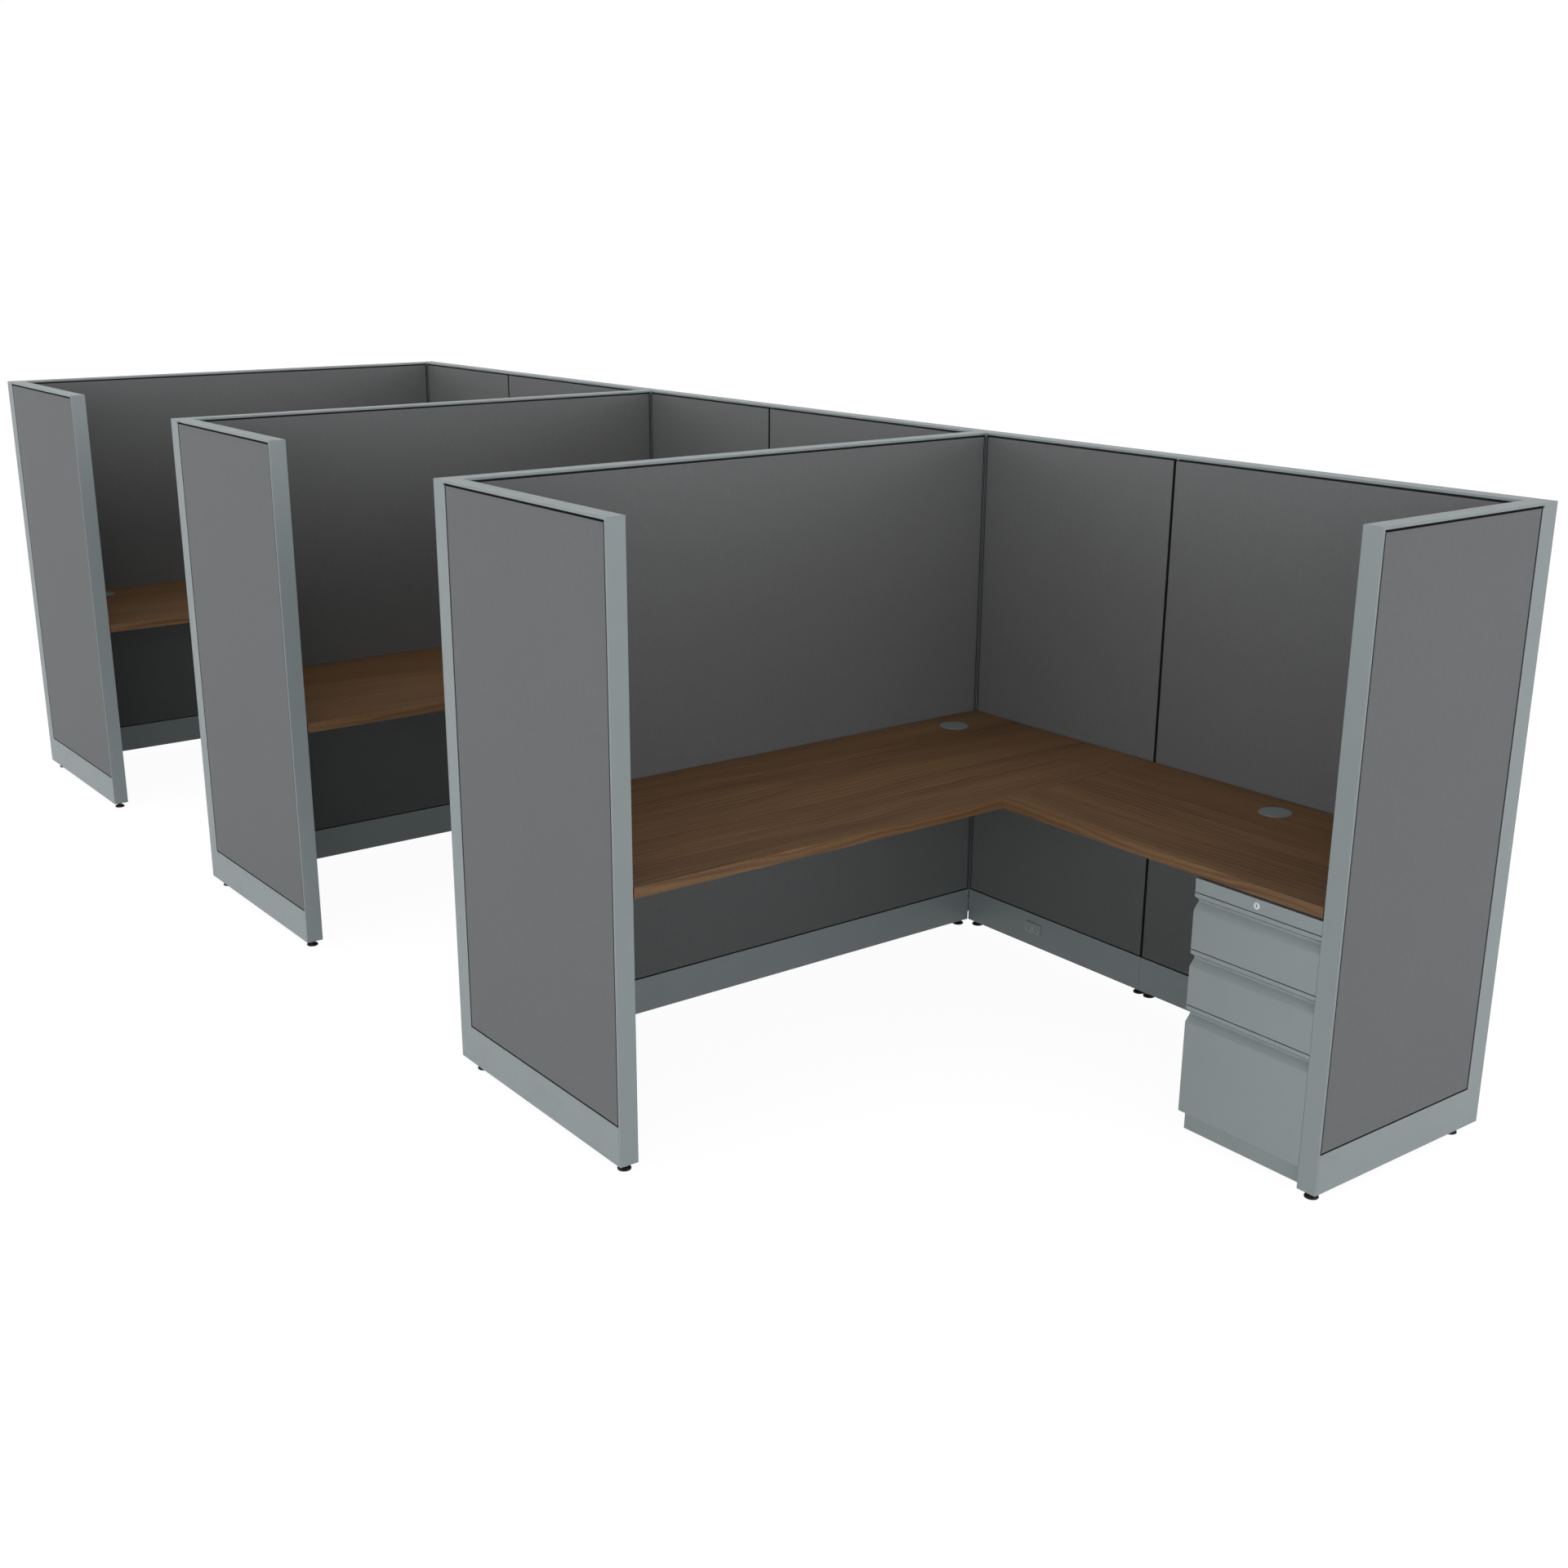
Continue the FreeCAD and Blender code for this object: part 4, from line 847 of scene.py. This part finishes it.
    def gap_shade_mesh(self, name: str, box: Box, outward: Vector, boxes: Sequence[Box]) -> bpy.types.Mesh:
        """The black bead round a tile's edge, which stands for its binding, and black strips in the gap round
        it: painted shade that darkens the gap.

        Args:
            name: The mesh's name.
            box: The tile's box.
            outward: The way the tile faces.
            boxes: The boxes of every tile.

        Returns:
            The mesh, in place.
        """
        place, (width, height, depth) = self.standing(box, outward)
        rim = depth - self.crown
        maker = MeshMaker()
        rings = []
        binding_and_shade_bead = [(grown, rim + drop) for grown, drop in self.binding_and_shade_bead]
        for grown, level in [(0, self.shade_strip), (binding_and_shade_bead[0][0], self.shade_strip), *binding_and_shade_bead]:
            ring = rounded_rectangle(width + 2 * grown, height + 2 * grown, self.corner_radius + grown, level)
            rings.append(maker.ring(ring))
        for lower, upper in zip(rings, rings[1:] + rings[:1]):
            maker.bridge(lower, upper)
        top = height / 2 + self.top_reveal - self.shade_strip_play
        bottom = -height / 2 - self.bottom_reveal + self.shade_strip_play
        side = width / 2 + self.side_reveal - self.shade_strip_play
        seams = self.seam_sides(box, outward, boxes)
        left = -width / 2 if -1 in seams else -side
        right = width / 2 if 1 in seams else side
        # Black strips of painted shade: deep in the gap above and below the tile, and behind its top edge.
        deep = (self.shade_strip_back, depth - self.shade_strip_recess)
        behind = (self.shade_strip_back, self.shade_strip_back + self.shade_strip)
        strips = [
            ((left, right), (top - self.shade_strip, top), deep),
            ((left, right), (bottom, bottom + self.shade_strip), deep),
            ((left, right), (height / 2 + self.shade_strip_play, top - self.shade_strip), behind),
        ]
        for sign in {-1, 1} - seams:
            edge = sign * side
            strips.append((tuple(sorted((edge, edge - sign * self.shade_strip))), (bottom, top), deep))
            # At an inner corner, a black strip in front of the post paints its shade; at other ends, a black
            # strip over the tile's side edge paints the shade of the gap.
            if self.inner_corner(box, outward, sign, boxes):
                start, stop = [sign * (width / 2 + self.side_reveal + reach) for reach in self.corner_shade_strip]
                level = depth + self.corner_shade_level
                shade_levels = (level, level + self.shade_strip)
                strips.append((tuple(sorted((start, stop))), (bottom, height / 2), shade_levels))
            else:
                start, stop = [sign * (width / 2 + reach) for reach in (-self.side_shade_reach, binding_and_shade_bead[0][0])]
                shade_levels = tuple(rim + level for level in self.side_shade_levels)
                reach = height / 2 - self.corner_radius
                strips.append((tuple(sorted((start, stop))), (-reach, reach), shade_levels))
        for xs, ys, levels in strips:
            self.add_strip(maker, xs, ys, levels)
        return maker.mesh(name, place)

    def inner_corner(self, box: Box, outward: Vector, sign: int, boxes: Sequence[Box]) -> bool:
        """True where another wall comes forward from this end of a tile."""
        along = UP.cross(outward) * sign
        reach = abs(box.size.dot(along)) / 2
        for other in boxes:
            step = other.centre - box.centre
            before = step.dot(along) - abs(other.size.dot(along)) / 2 - reach
            ahead = step.dot(outward) - abs(other.size.dot(outward)) / 2
            if 0 < before < self.corner_reach[0] and 0 < ahead < self.corner_reach[1]:
                return True
        return False

    def add_strip(
        self, maker: MeshMaker, xs: Sequence[float], ys: Sequence[float], levels: Sequence[float]
    ) -> None:
        """Adds a thin strip with a rounded front.

        Args:
            maker: What collects the mesh.
            xs: Its ends along X, in the tile's frame.
            ys: Its ends along Y.
            levels: Its back and front along Z.
        """
        nose = self.shade_strip / 3
        back, front = levels
        profile = [(0.0, back), (0.0, front - nose), (nose * 0.3, front - nose * 0.3), (nose, front)]
        x, y = sum(xs) / 2, sum(ys) / 2
        width, height = xs[1] - xs[0], ys[1] - ys[0]
        rings = []
        for inset, level in profile:
            ring = rounded_rectangle(width - 2 * inset, height - 2 * inset, nose * 0.2, level, 1)
            rings.append([(px + x, py + y, pz) for px, py, pz in ring])
        maker.tube(rings)


@dataclass
class LevelingGlides:
    """The black feet: a domed pad, a hexagon nut moulded on it and a threaded stem."""

    wardrobe: Wardrobe
    large_radius: float = 17 * MM
    nut_height: float = 4.0 * MM
    nut_flats: float = 17 * MM
    small_nut_flats: float = 14 * MM
    pad_height: float = 8 * MM
    small_pad_height: float = 6 * MM
    thread_pitch: float = 1.75 * MM
    thread_depth: float = 0.8 * MM
    stem_radius: float = 5 * MM
    small_stem_radius: float = 4 * MM
    thread_steps: int = 20

    def build(self) -> None:
        """Makes a detailed foot in the place of each plain one."""
        for number, box in enumerate(solids_of("leveling_glides"), 1):
            name = f"leveling_glide_{number:02d}"
            radius = box.size.x / 2
            mesh = self.foot_mesh(name, box, radius > self.large_radius)
            add_piece(name, mesh, self.wardrobe.material(FOOT), "station", "leveling_glides")

    def foot_mesh(self, name: str, box: Box, large: bool) -> bpy.types.Mesh:
        """One foot.

        Args:
            name: The mesh's name.
            box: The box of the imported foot.
            large: True under a panel, False under a pedestal.

        Returns:
            The mesh, in place.
        """
        radius = box.size.x / 2
        pad = self.pad_height if large else self.small_pad_height
        flats = self.nut_flats if large else self.small_nut_flats
        stem = self.stem_radius if large else self.small_stem_radius
        maker = MeshMaker()
        profile = [
            (radius - 1.6 * MM, 0.0),
            (radius - 0.5 * MM, 0.3 * MM),
            (radius, 1.1 * MM),
            (radius, pad * 0.42),
            (radius - 0.6 * MM, pad * 0.56),
            (radius * 0.86, pad * 0.76),
            (radius * 0.72, pad * 0.90),
            (radius * 0.56, pad),
        ]
        maker.tube(circle(r, z, 48) for r, z in profile)
        corner = flats / math.sqrt(3)
        top = pad + self.nut_height
        nut = [(corner, pad - 0.5 * MM), (corner, top - 0.6 * MM), (corner * 0.93, top)]
        maker.tube(circle(r, z, 6) for r, z in nut)
        self.add_thread(maker, stem, top - 0.3 * MM, box.size.z)
        centre = Vector((box.centre.x, box.centre.y, box.low.z))
        return maker.mesh(name, Matrix.Translation(centre))

    def add_thread(self, maker: MeshMaker, radius: float, bottom: float, top: float) -> None:
        """Adds a helical thread between two heights, closed at both ends."""
        steps = self.thread_steps
        turns = int((top - bottom) / self.thread_pitch) - 1
        root = radius - self.thread_depth
        lows, highs = [], []
        for i in range(turns * steps + 1):
            angle = 2 * math.pi * i / steps
            level = bottom + self.thread_pitch * i / steps
            turned = (math.cos(angle), math.sin(angle))
            lows.append((root * turned[0], root * turned[1], level))
            highs.append((radius * turned[0], radius * turned[1], level + self.thread_pitch / 2))
        low = maker.ring(lows)
        high = maker.ring(highs)
        for i in range(turns * steps):
            maker.faces.append((low[i], low[i + 1], high[i + 1], high[i]))
            if i + steps < len(low) - 1:
                maker.faces.append((high[i], high[i + 1], low[i + steps + 1], low[i + steps]))
        maker.faces.append(tuple(low[steps::-1]) + (high[0],))
        last = len(low) - 1
        maker.faces.append(tuple(high[last - steps : last + 1]) + (low[last],))


@dataclass
class Outlets:
    """The duplex outlets in the raceway: a plate with two raised faces, and a body behind it."""

    wardrobe: Wardrobe
    proud: float = 5.0 * MM
    plate_proud: float = 4.3 * MM
    plate_corner: float = 4 * MM
    plate_edge: float = 0.9 * MM
    body_inset: float = 3.0 * MM
    face_size: tuple[float, float] = (27 * MM, 27 * MM)
    face_corner: float = 9 * MM
    face_edge: float = 0.5 * MM
    face_root: float = 2 * MM
    face_spacing: float = 34 * MM
    slot_width: float = 2.0 * MM
    slot_length: float = 8.0 * MM
    slot_spread: float = 6.4 * MM
    slot_rise: float = 3.5 * MM
    slot_corner: float = 0.3 * MM
    ground_radius: float = 2.4 * MM
    ground_drop: float = 6.5 * MM
    hole_depth: float = 10 * MM
    screw_radius: float = 2.6 * MM
    screw_slot: float = 0.7 * MM

    def build(self) -> None:
        """Makes one detailed outlet for each bay."""
        for bay, box in zip(BAYS, solids_of("duplex_outlets")):
            name = f"duplex_outlet_{bay}"
            piece = self.outlet_mesh(name, box)
            material = self.wardrobe.material(OUTLET)
            add_piece(name, piece, material, "station", "duplex_outlets")
            screw = self.screw_mesh(f"outlet_screw_{bay}", box)
            add_piece(f"outlet_screw_{bay}", screw, self.wardrobe.material(ZINC), "station")

    def slab(
        self, width: float, height: float, corner: float, edge: float, low: float, high: float
    ) -> MeshMaker:
        """A plate with rounded corners and a rounded rim.

        Args:
            width: Its length along X.
            height: Its length along Y.
            corner: The radius of its corners.
            edge: The radius of its rim.
            low: The level of its back.
            high: The level of its face.

        Returns:
            Its vertices and faces.
        """
        maker = MeshMaker()
        rings = [(0.0, low), (0.0, high - edge)]
        for step in (1, 2, 3):
            angle = step * math.pi / 6
            rings.append((edge * (1 - math.cos(angle)), high - edge + edge * math.sin(angle)))
        maker.tube(
            rounded_rectangle(width - 2 * inset, height - 2 * inset, corner - inset, level, 6)
            for inset, level in rings
        )
        return maker

    def outlet_mesh(self, name: str, box: Box) -> bpy.types.Mesh:
        """The plate, the two faces and the body, with their slots and holes cut."""
        place = facing_bay(box.centre.x, box.low.y, box.centre.z)
        whole = MeshMaker()
        plate = self.plate_proud - self.proud
        body = self.body_inset * 2
        parts = [
            self.slab(box.size.x, box.size.z, self.plate_corner, self.plate_edge, -self.proud, plate),
            self.slab(box.size.x - body, box.size.z - body, MM, 0.3 * MM, -box.size.y, plate - MM),
        ]
        for side in (-1, 1):
            face = self.slab(*self.face_size, self.face_corner, self.face_edge, -self.face_root, 0.0)
            face.points = [(x + side * self.face_spacing / 2, y, z) for x, y, z in face.points]
            parts.append(face)
        for part in parts:
            first = len(whole.points)
            whole.points += part.points
            whole.faces += [tuple(first + i for i in face) for face in part.faces]
        cutters = []
        for side in (-1, 1):
            cutters += self.hole_meshes(side * self.face_spacing / 2, place)
        return carved(whole.mesh(name, place), cutters)

    def hole_meshes(self, x: float, place: Matrix) -> list[bpy.types.Mesh]:
        """The cutters for one socket: two blade slots and a round hole."""
        made = []
        for side in (-1, 1):
            maker = MeshMaker()
            ring = rounded_rectangle(self.slot_width, self.slot_length, self.slot_corner, 0.0, 1)
            moved = [(px + x + side * self.slot_spread, py + self.slot_rise, 0.0) for px, py, _ in ring]
            maker.tube([[(px, py, z) for px, py, _ in moved] for z in (-self.hole_depth, MM)])
            made.append(maker.mesh("blade_slot", place))
        maker = MeshMaker()
        ring = [(px + x, py - self.ground_drop) for px, py, _ in circle(self.ground_radius, 0.0, 24)]
        maker.tube([[(px, py, z) for px, py in ring] for z in (-self.hole_depth, MM)])
        made.append(maker.mesh("ground_hole", place))
        return made

    def screw_mesh(self, name: str, box: Box) -> bpy.types.Mesh:
        """The domed head of the centre screw, with a straight slot."""
        place = facing_bay(box.centre.x, box.low.y, box.centre.z)
        base = self.plate_proud - self.proud
        maker = MeshMaker()
        profile = [(1.0, -0.4), (1.0, 0.1), (0.92, 0.32), (0.7, 0.5), (0.4, 0.6)]
        maker.tube(circle(self.screw_radius * r, base + h * MM, 24) for r, h in profile)
        slot = MeshMaker()
        half = self.screw_slot / 2
        reach = self.screw_radius * 1.2
        corners = [(-reach, -half), (reach, -half), (reach, half), (-reach, half)]
        slot.tube([[(x, y, base + z * MM) for x, y in corners] for z in (0.1, 1.5)])
        return carved(maker.mesh(name, place), [slot.mesh("screw_slot", place)])


@dataclass
class Worksurfaces:
    """The walnut boards with their edge bands, grommets, brackets and screws."""

    wardrobe: Wardrobe

    def build(self) -> None:
        """Dresses the boards and what holds them."""
        self.wardrobe.dress(MAIN_TOP, "main_worksurfaces")
        self.wardrobe.dress(SIDE_TOP, "side_worksurfaces")
        self.wardrobe.dress(EDGE, "edge_bands")
        self.wardrobe.dress(BRACKET, "cantilever_brackets", "worksurface_rails")
        self.wardrobe.dress(ZINC, "worksurface_screws")
        caps = [f"grommet_cap_{bay}{number}" for bay in BAYS for number in NUMBERS]
        self.wardrobe.dress(GROMMET, "grommet_sleeves", *caps)


@dataclass
class Pedestals:
    """The drawer pedestals, with a plug in the face of each lock and a black sheet of painted shade at the
    bottom of its keyway.
    """

    wardrobe: Wardrobe
    plug_radius: float = 6.2 * MM
    plug_proud: float = 0.35 * MM
    plug_bevel: float = 0.25 * MM
    keyway_size: tuple[float, float] = (2.0 * MM, 8.6 * MM)
    keyway_corner: float = 0.4 * MM
    keyway_floor: float = 2.2 * MM
    floor_overlap: tuple[float, float] = (0.1 * MM, 0.2 * MM)

    def build(self) -> None:
        """Dresses the cases and drawers, and details the locks."""
        numbers = [f"{bay}{number}" for bay in BAYS for number in NUMBERS]
        fronts = [f"drawer_front_{n}" for n in numbers]
        self.wardrobe.dress(CASE, "pedestal_cases", "pedestal_plinths", *fronts)
        self.wardrobe.dress(DRAWER, *[f"drawer_box_{n}" for n in numbers])
        slides = [f"slide_middles_{bay}" for bay in BAYS]
        bars = [f"lock_bar_{bay}" for bay in BAYS]
        self.wardrobe.dress(ZINC, "slide_rails", *slides, *bars)
        self.wardrobe.dress(RUBBER, "pedestal_pads")
        self.wardrobe.dress(NICKEL, *[f"lock_cylinder_{bay}" for bay in BAYS])
        for bay in BAYS:
            self.build_lock_face(bay)

    def build_lock_face(self, bay: str) -> None:
        """Makes the plug of one lock, and the black sheet at the bottom of its keyway that paints the
        keyway's shade.
        """
        joint = next(j for j in frame["joints"] if j["name"] == f"lock_{bay}_turn")
        x, _, z = joint["pos_m"]
        body = f"lock_cylinder_{bay}"
        place = facing_bay(x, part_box(body)[0].y, z)
        plug = MeshMaker()
        bevel = self.plug_bevel
        profile = [(0.0, -MM), (0.0, self.plug_proud - bevel), (bevel, self.plug_proud)]
        plug.tube(circle(self.plug_radius - inset, level, 40) for inset, level in profile)
        width, height = self.keyway_size
        slot = MeshMaker()
        corner = self.keyway_corner
        slot.tube([rounded_rectangle(width, height, corner, level, 2) for level in (-2 * MM, MM)])
        mesh = carved(plug.mesh(f"lock_plug_{bay}", place), [slot.mesh("keyway", place)])
        add_piece(f"lock_plug_{bay}", mesh, self.wardrobe.material(NICKEL), body)
        # A black sheet at the bottom of the keyway: painted shade.
        floor = MeshMaker()
        width += self.floor_overlap[0]
        height += self.floor_overlap[1]
        levels = (-self.keyway_floor - MM, -self.keyway_floor)
        floor.tube([rounded_rectangle(width, height, corner, level, 2) for level in levels])
        mesh = floor.mesh(f"keyway_{bay}", place)
        add_piece(f"keyway_{bay}", mesh, self.wardrobe.material(KEYWAY_SHADE), body)


@dataclass
class Studio:
    """The pale floor, the soft light and the camera."""

    camera_place: Point = (5.245267, -3.167797, 2.259753)
    camera_azimuth: float = 53.4959
    camera_elevation: float = 17.7774
    lens: float = 42.6596
    sensor: float = 36.0
    shift: tuple[float, float] = (0.0221, 0.02124)
    clip: tuple[float, float] = (0.05, 200.0)
    wall_light: float = 2.8
    wall_fade: tuple[float, float] = (0.20, 0.45)
    ceiling_light: float = 0.9
    ceiling_fade: tuple[float, float] = (0.65, 0.90)
    floor_reach: float = 60.0
    floor_colour: Colour = (0.86, 0.86, 0.86)
    floor_share: float = 0.88
    floor_white: float = 1.09

    def build(self) -> None:
        """Makes the floor, the light and the camera."""
        self.build_floor()
        self.build_light()
        self.build_camera()

    def build_floor(self) -> None:
        """A wide flat floor that looks white and still takes a soft shadow."""
        maker = MeshMaker()
        r = self.floor_reach
        maker.faces.append(tuple(maker.ring([(-r, -r, 0), (r, -r, 0), (r, r, 0), (-r, r, 0)])))
        floor = add_object("floor", maker.mesh("floor"))
        tree = Surface("floor_white")
        tree.shade(Base_Color=self.floor_colour, Roughness=0.9, Specular_IOR_Level=0.0)
        matt = Value(tree, tree.shader.outputs[0])
        white = tree.glow("ShaderNodeEmission", self.floor_white)
        shown = tree.blend(self.floor_share, matt, white)
        tree.feed(tree.surface, tree.blend(tree.backdrop_rays(), matt, shown))
        floor.data.materials.append(tree.material)
        log.info("floor laid")

    def build_light(self) -> None:
        """A white studio all round: soft light from its walls, and less from its ceiling."""
        world = bpy.data.worlds.new("studio_walls")
        bpy.context.scene.world = world
        tree = Tree(world)
        height = tree.parts(tree.node("ShaderNodeTexCoord", output="Generated"))[2]
        walls = (1 - height.ramp(*self.wall_fade)) * self.wall_light
        ceiling = height.ramp(*self.ceiling_fade) * self.ceiling_light
        light = tree.glow("ShaderNodeBackground", walls + ceiling)
        white = tree.glow("ShaderNodeBackground", 1.0)
        surface = tree.nodes["World Output"].inputs["Surface"]
        tree.feed(surface, tree.blend(tree.backdrop_rays(), light, white))
        log.info("light set")

    def build_camera(self) -> None:
        """The camera of the photograph."""
        data = bpy.data.cameras.new("camera")
        data.sensor_width = self.sensor
        data.lens = self.lens
        data.shift_x, data.shift_y = self.shift
        data.clip_start, data.clip_end = self.clip
        camera = add_object("camera", data)
        camera.location = self.camera_place
        camera.rotation_euler = self.aim(self.camera_azimuth, self.camera_elevation)
        bpy.context.scene.camera = camera
        log.info("camera placed")

    @staticmethod
    def aim(azimuth: float, elevation: float) -> tuple[float, float, float]:
        """The turn of what looks from a side and a height towards the middle, from angles in degrees."""
        return (math.radians(90 - elevation), 0.0, math.radians(azimuth))


def main() -> None:
    """Builds the pieces in order, then the studio."""
    logging.basicConfig(level=logging.INFO, format="%(message)s")
    bpy.context.scene.view_settings.view_transform = "Standard"
    wardrobe = Wardrobe()
    makers: list[Callable[[], None]] = [
        Panels(wardrobe).build,
        LevelingGlides(wardrobe).build,
        Outlets(wardrobe).build,
        Worksurfaces(wardrobe).build,
        Pedestals(wardrobe).build,
        Studio().build,
    ]
    for make in makers:
        make()


if __name__ == "__main__":
    main()
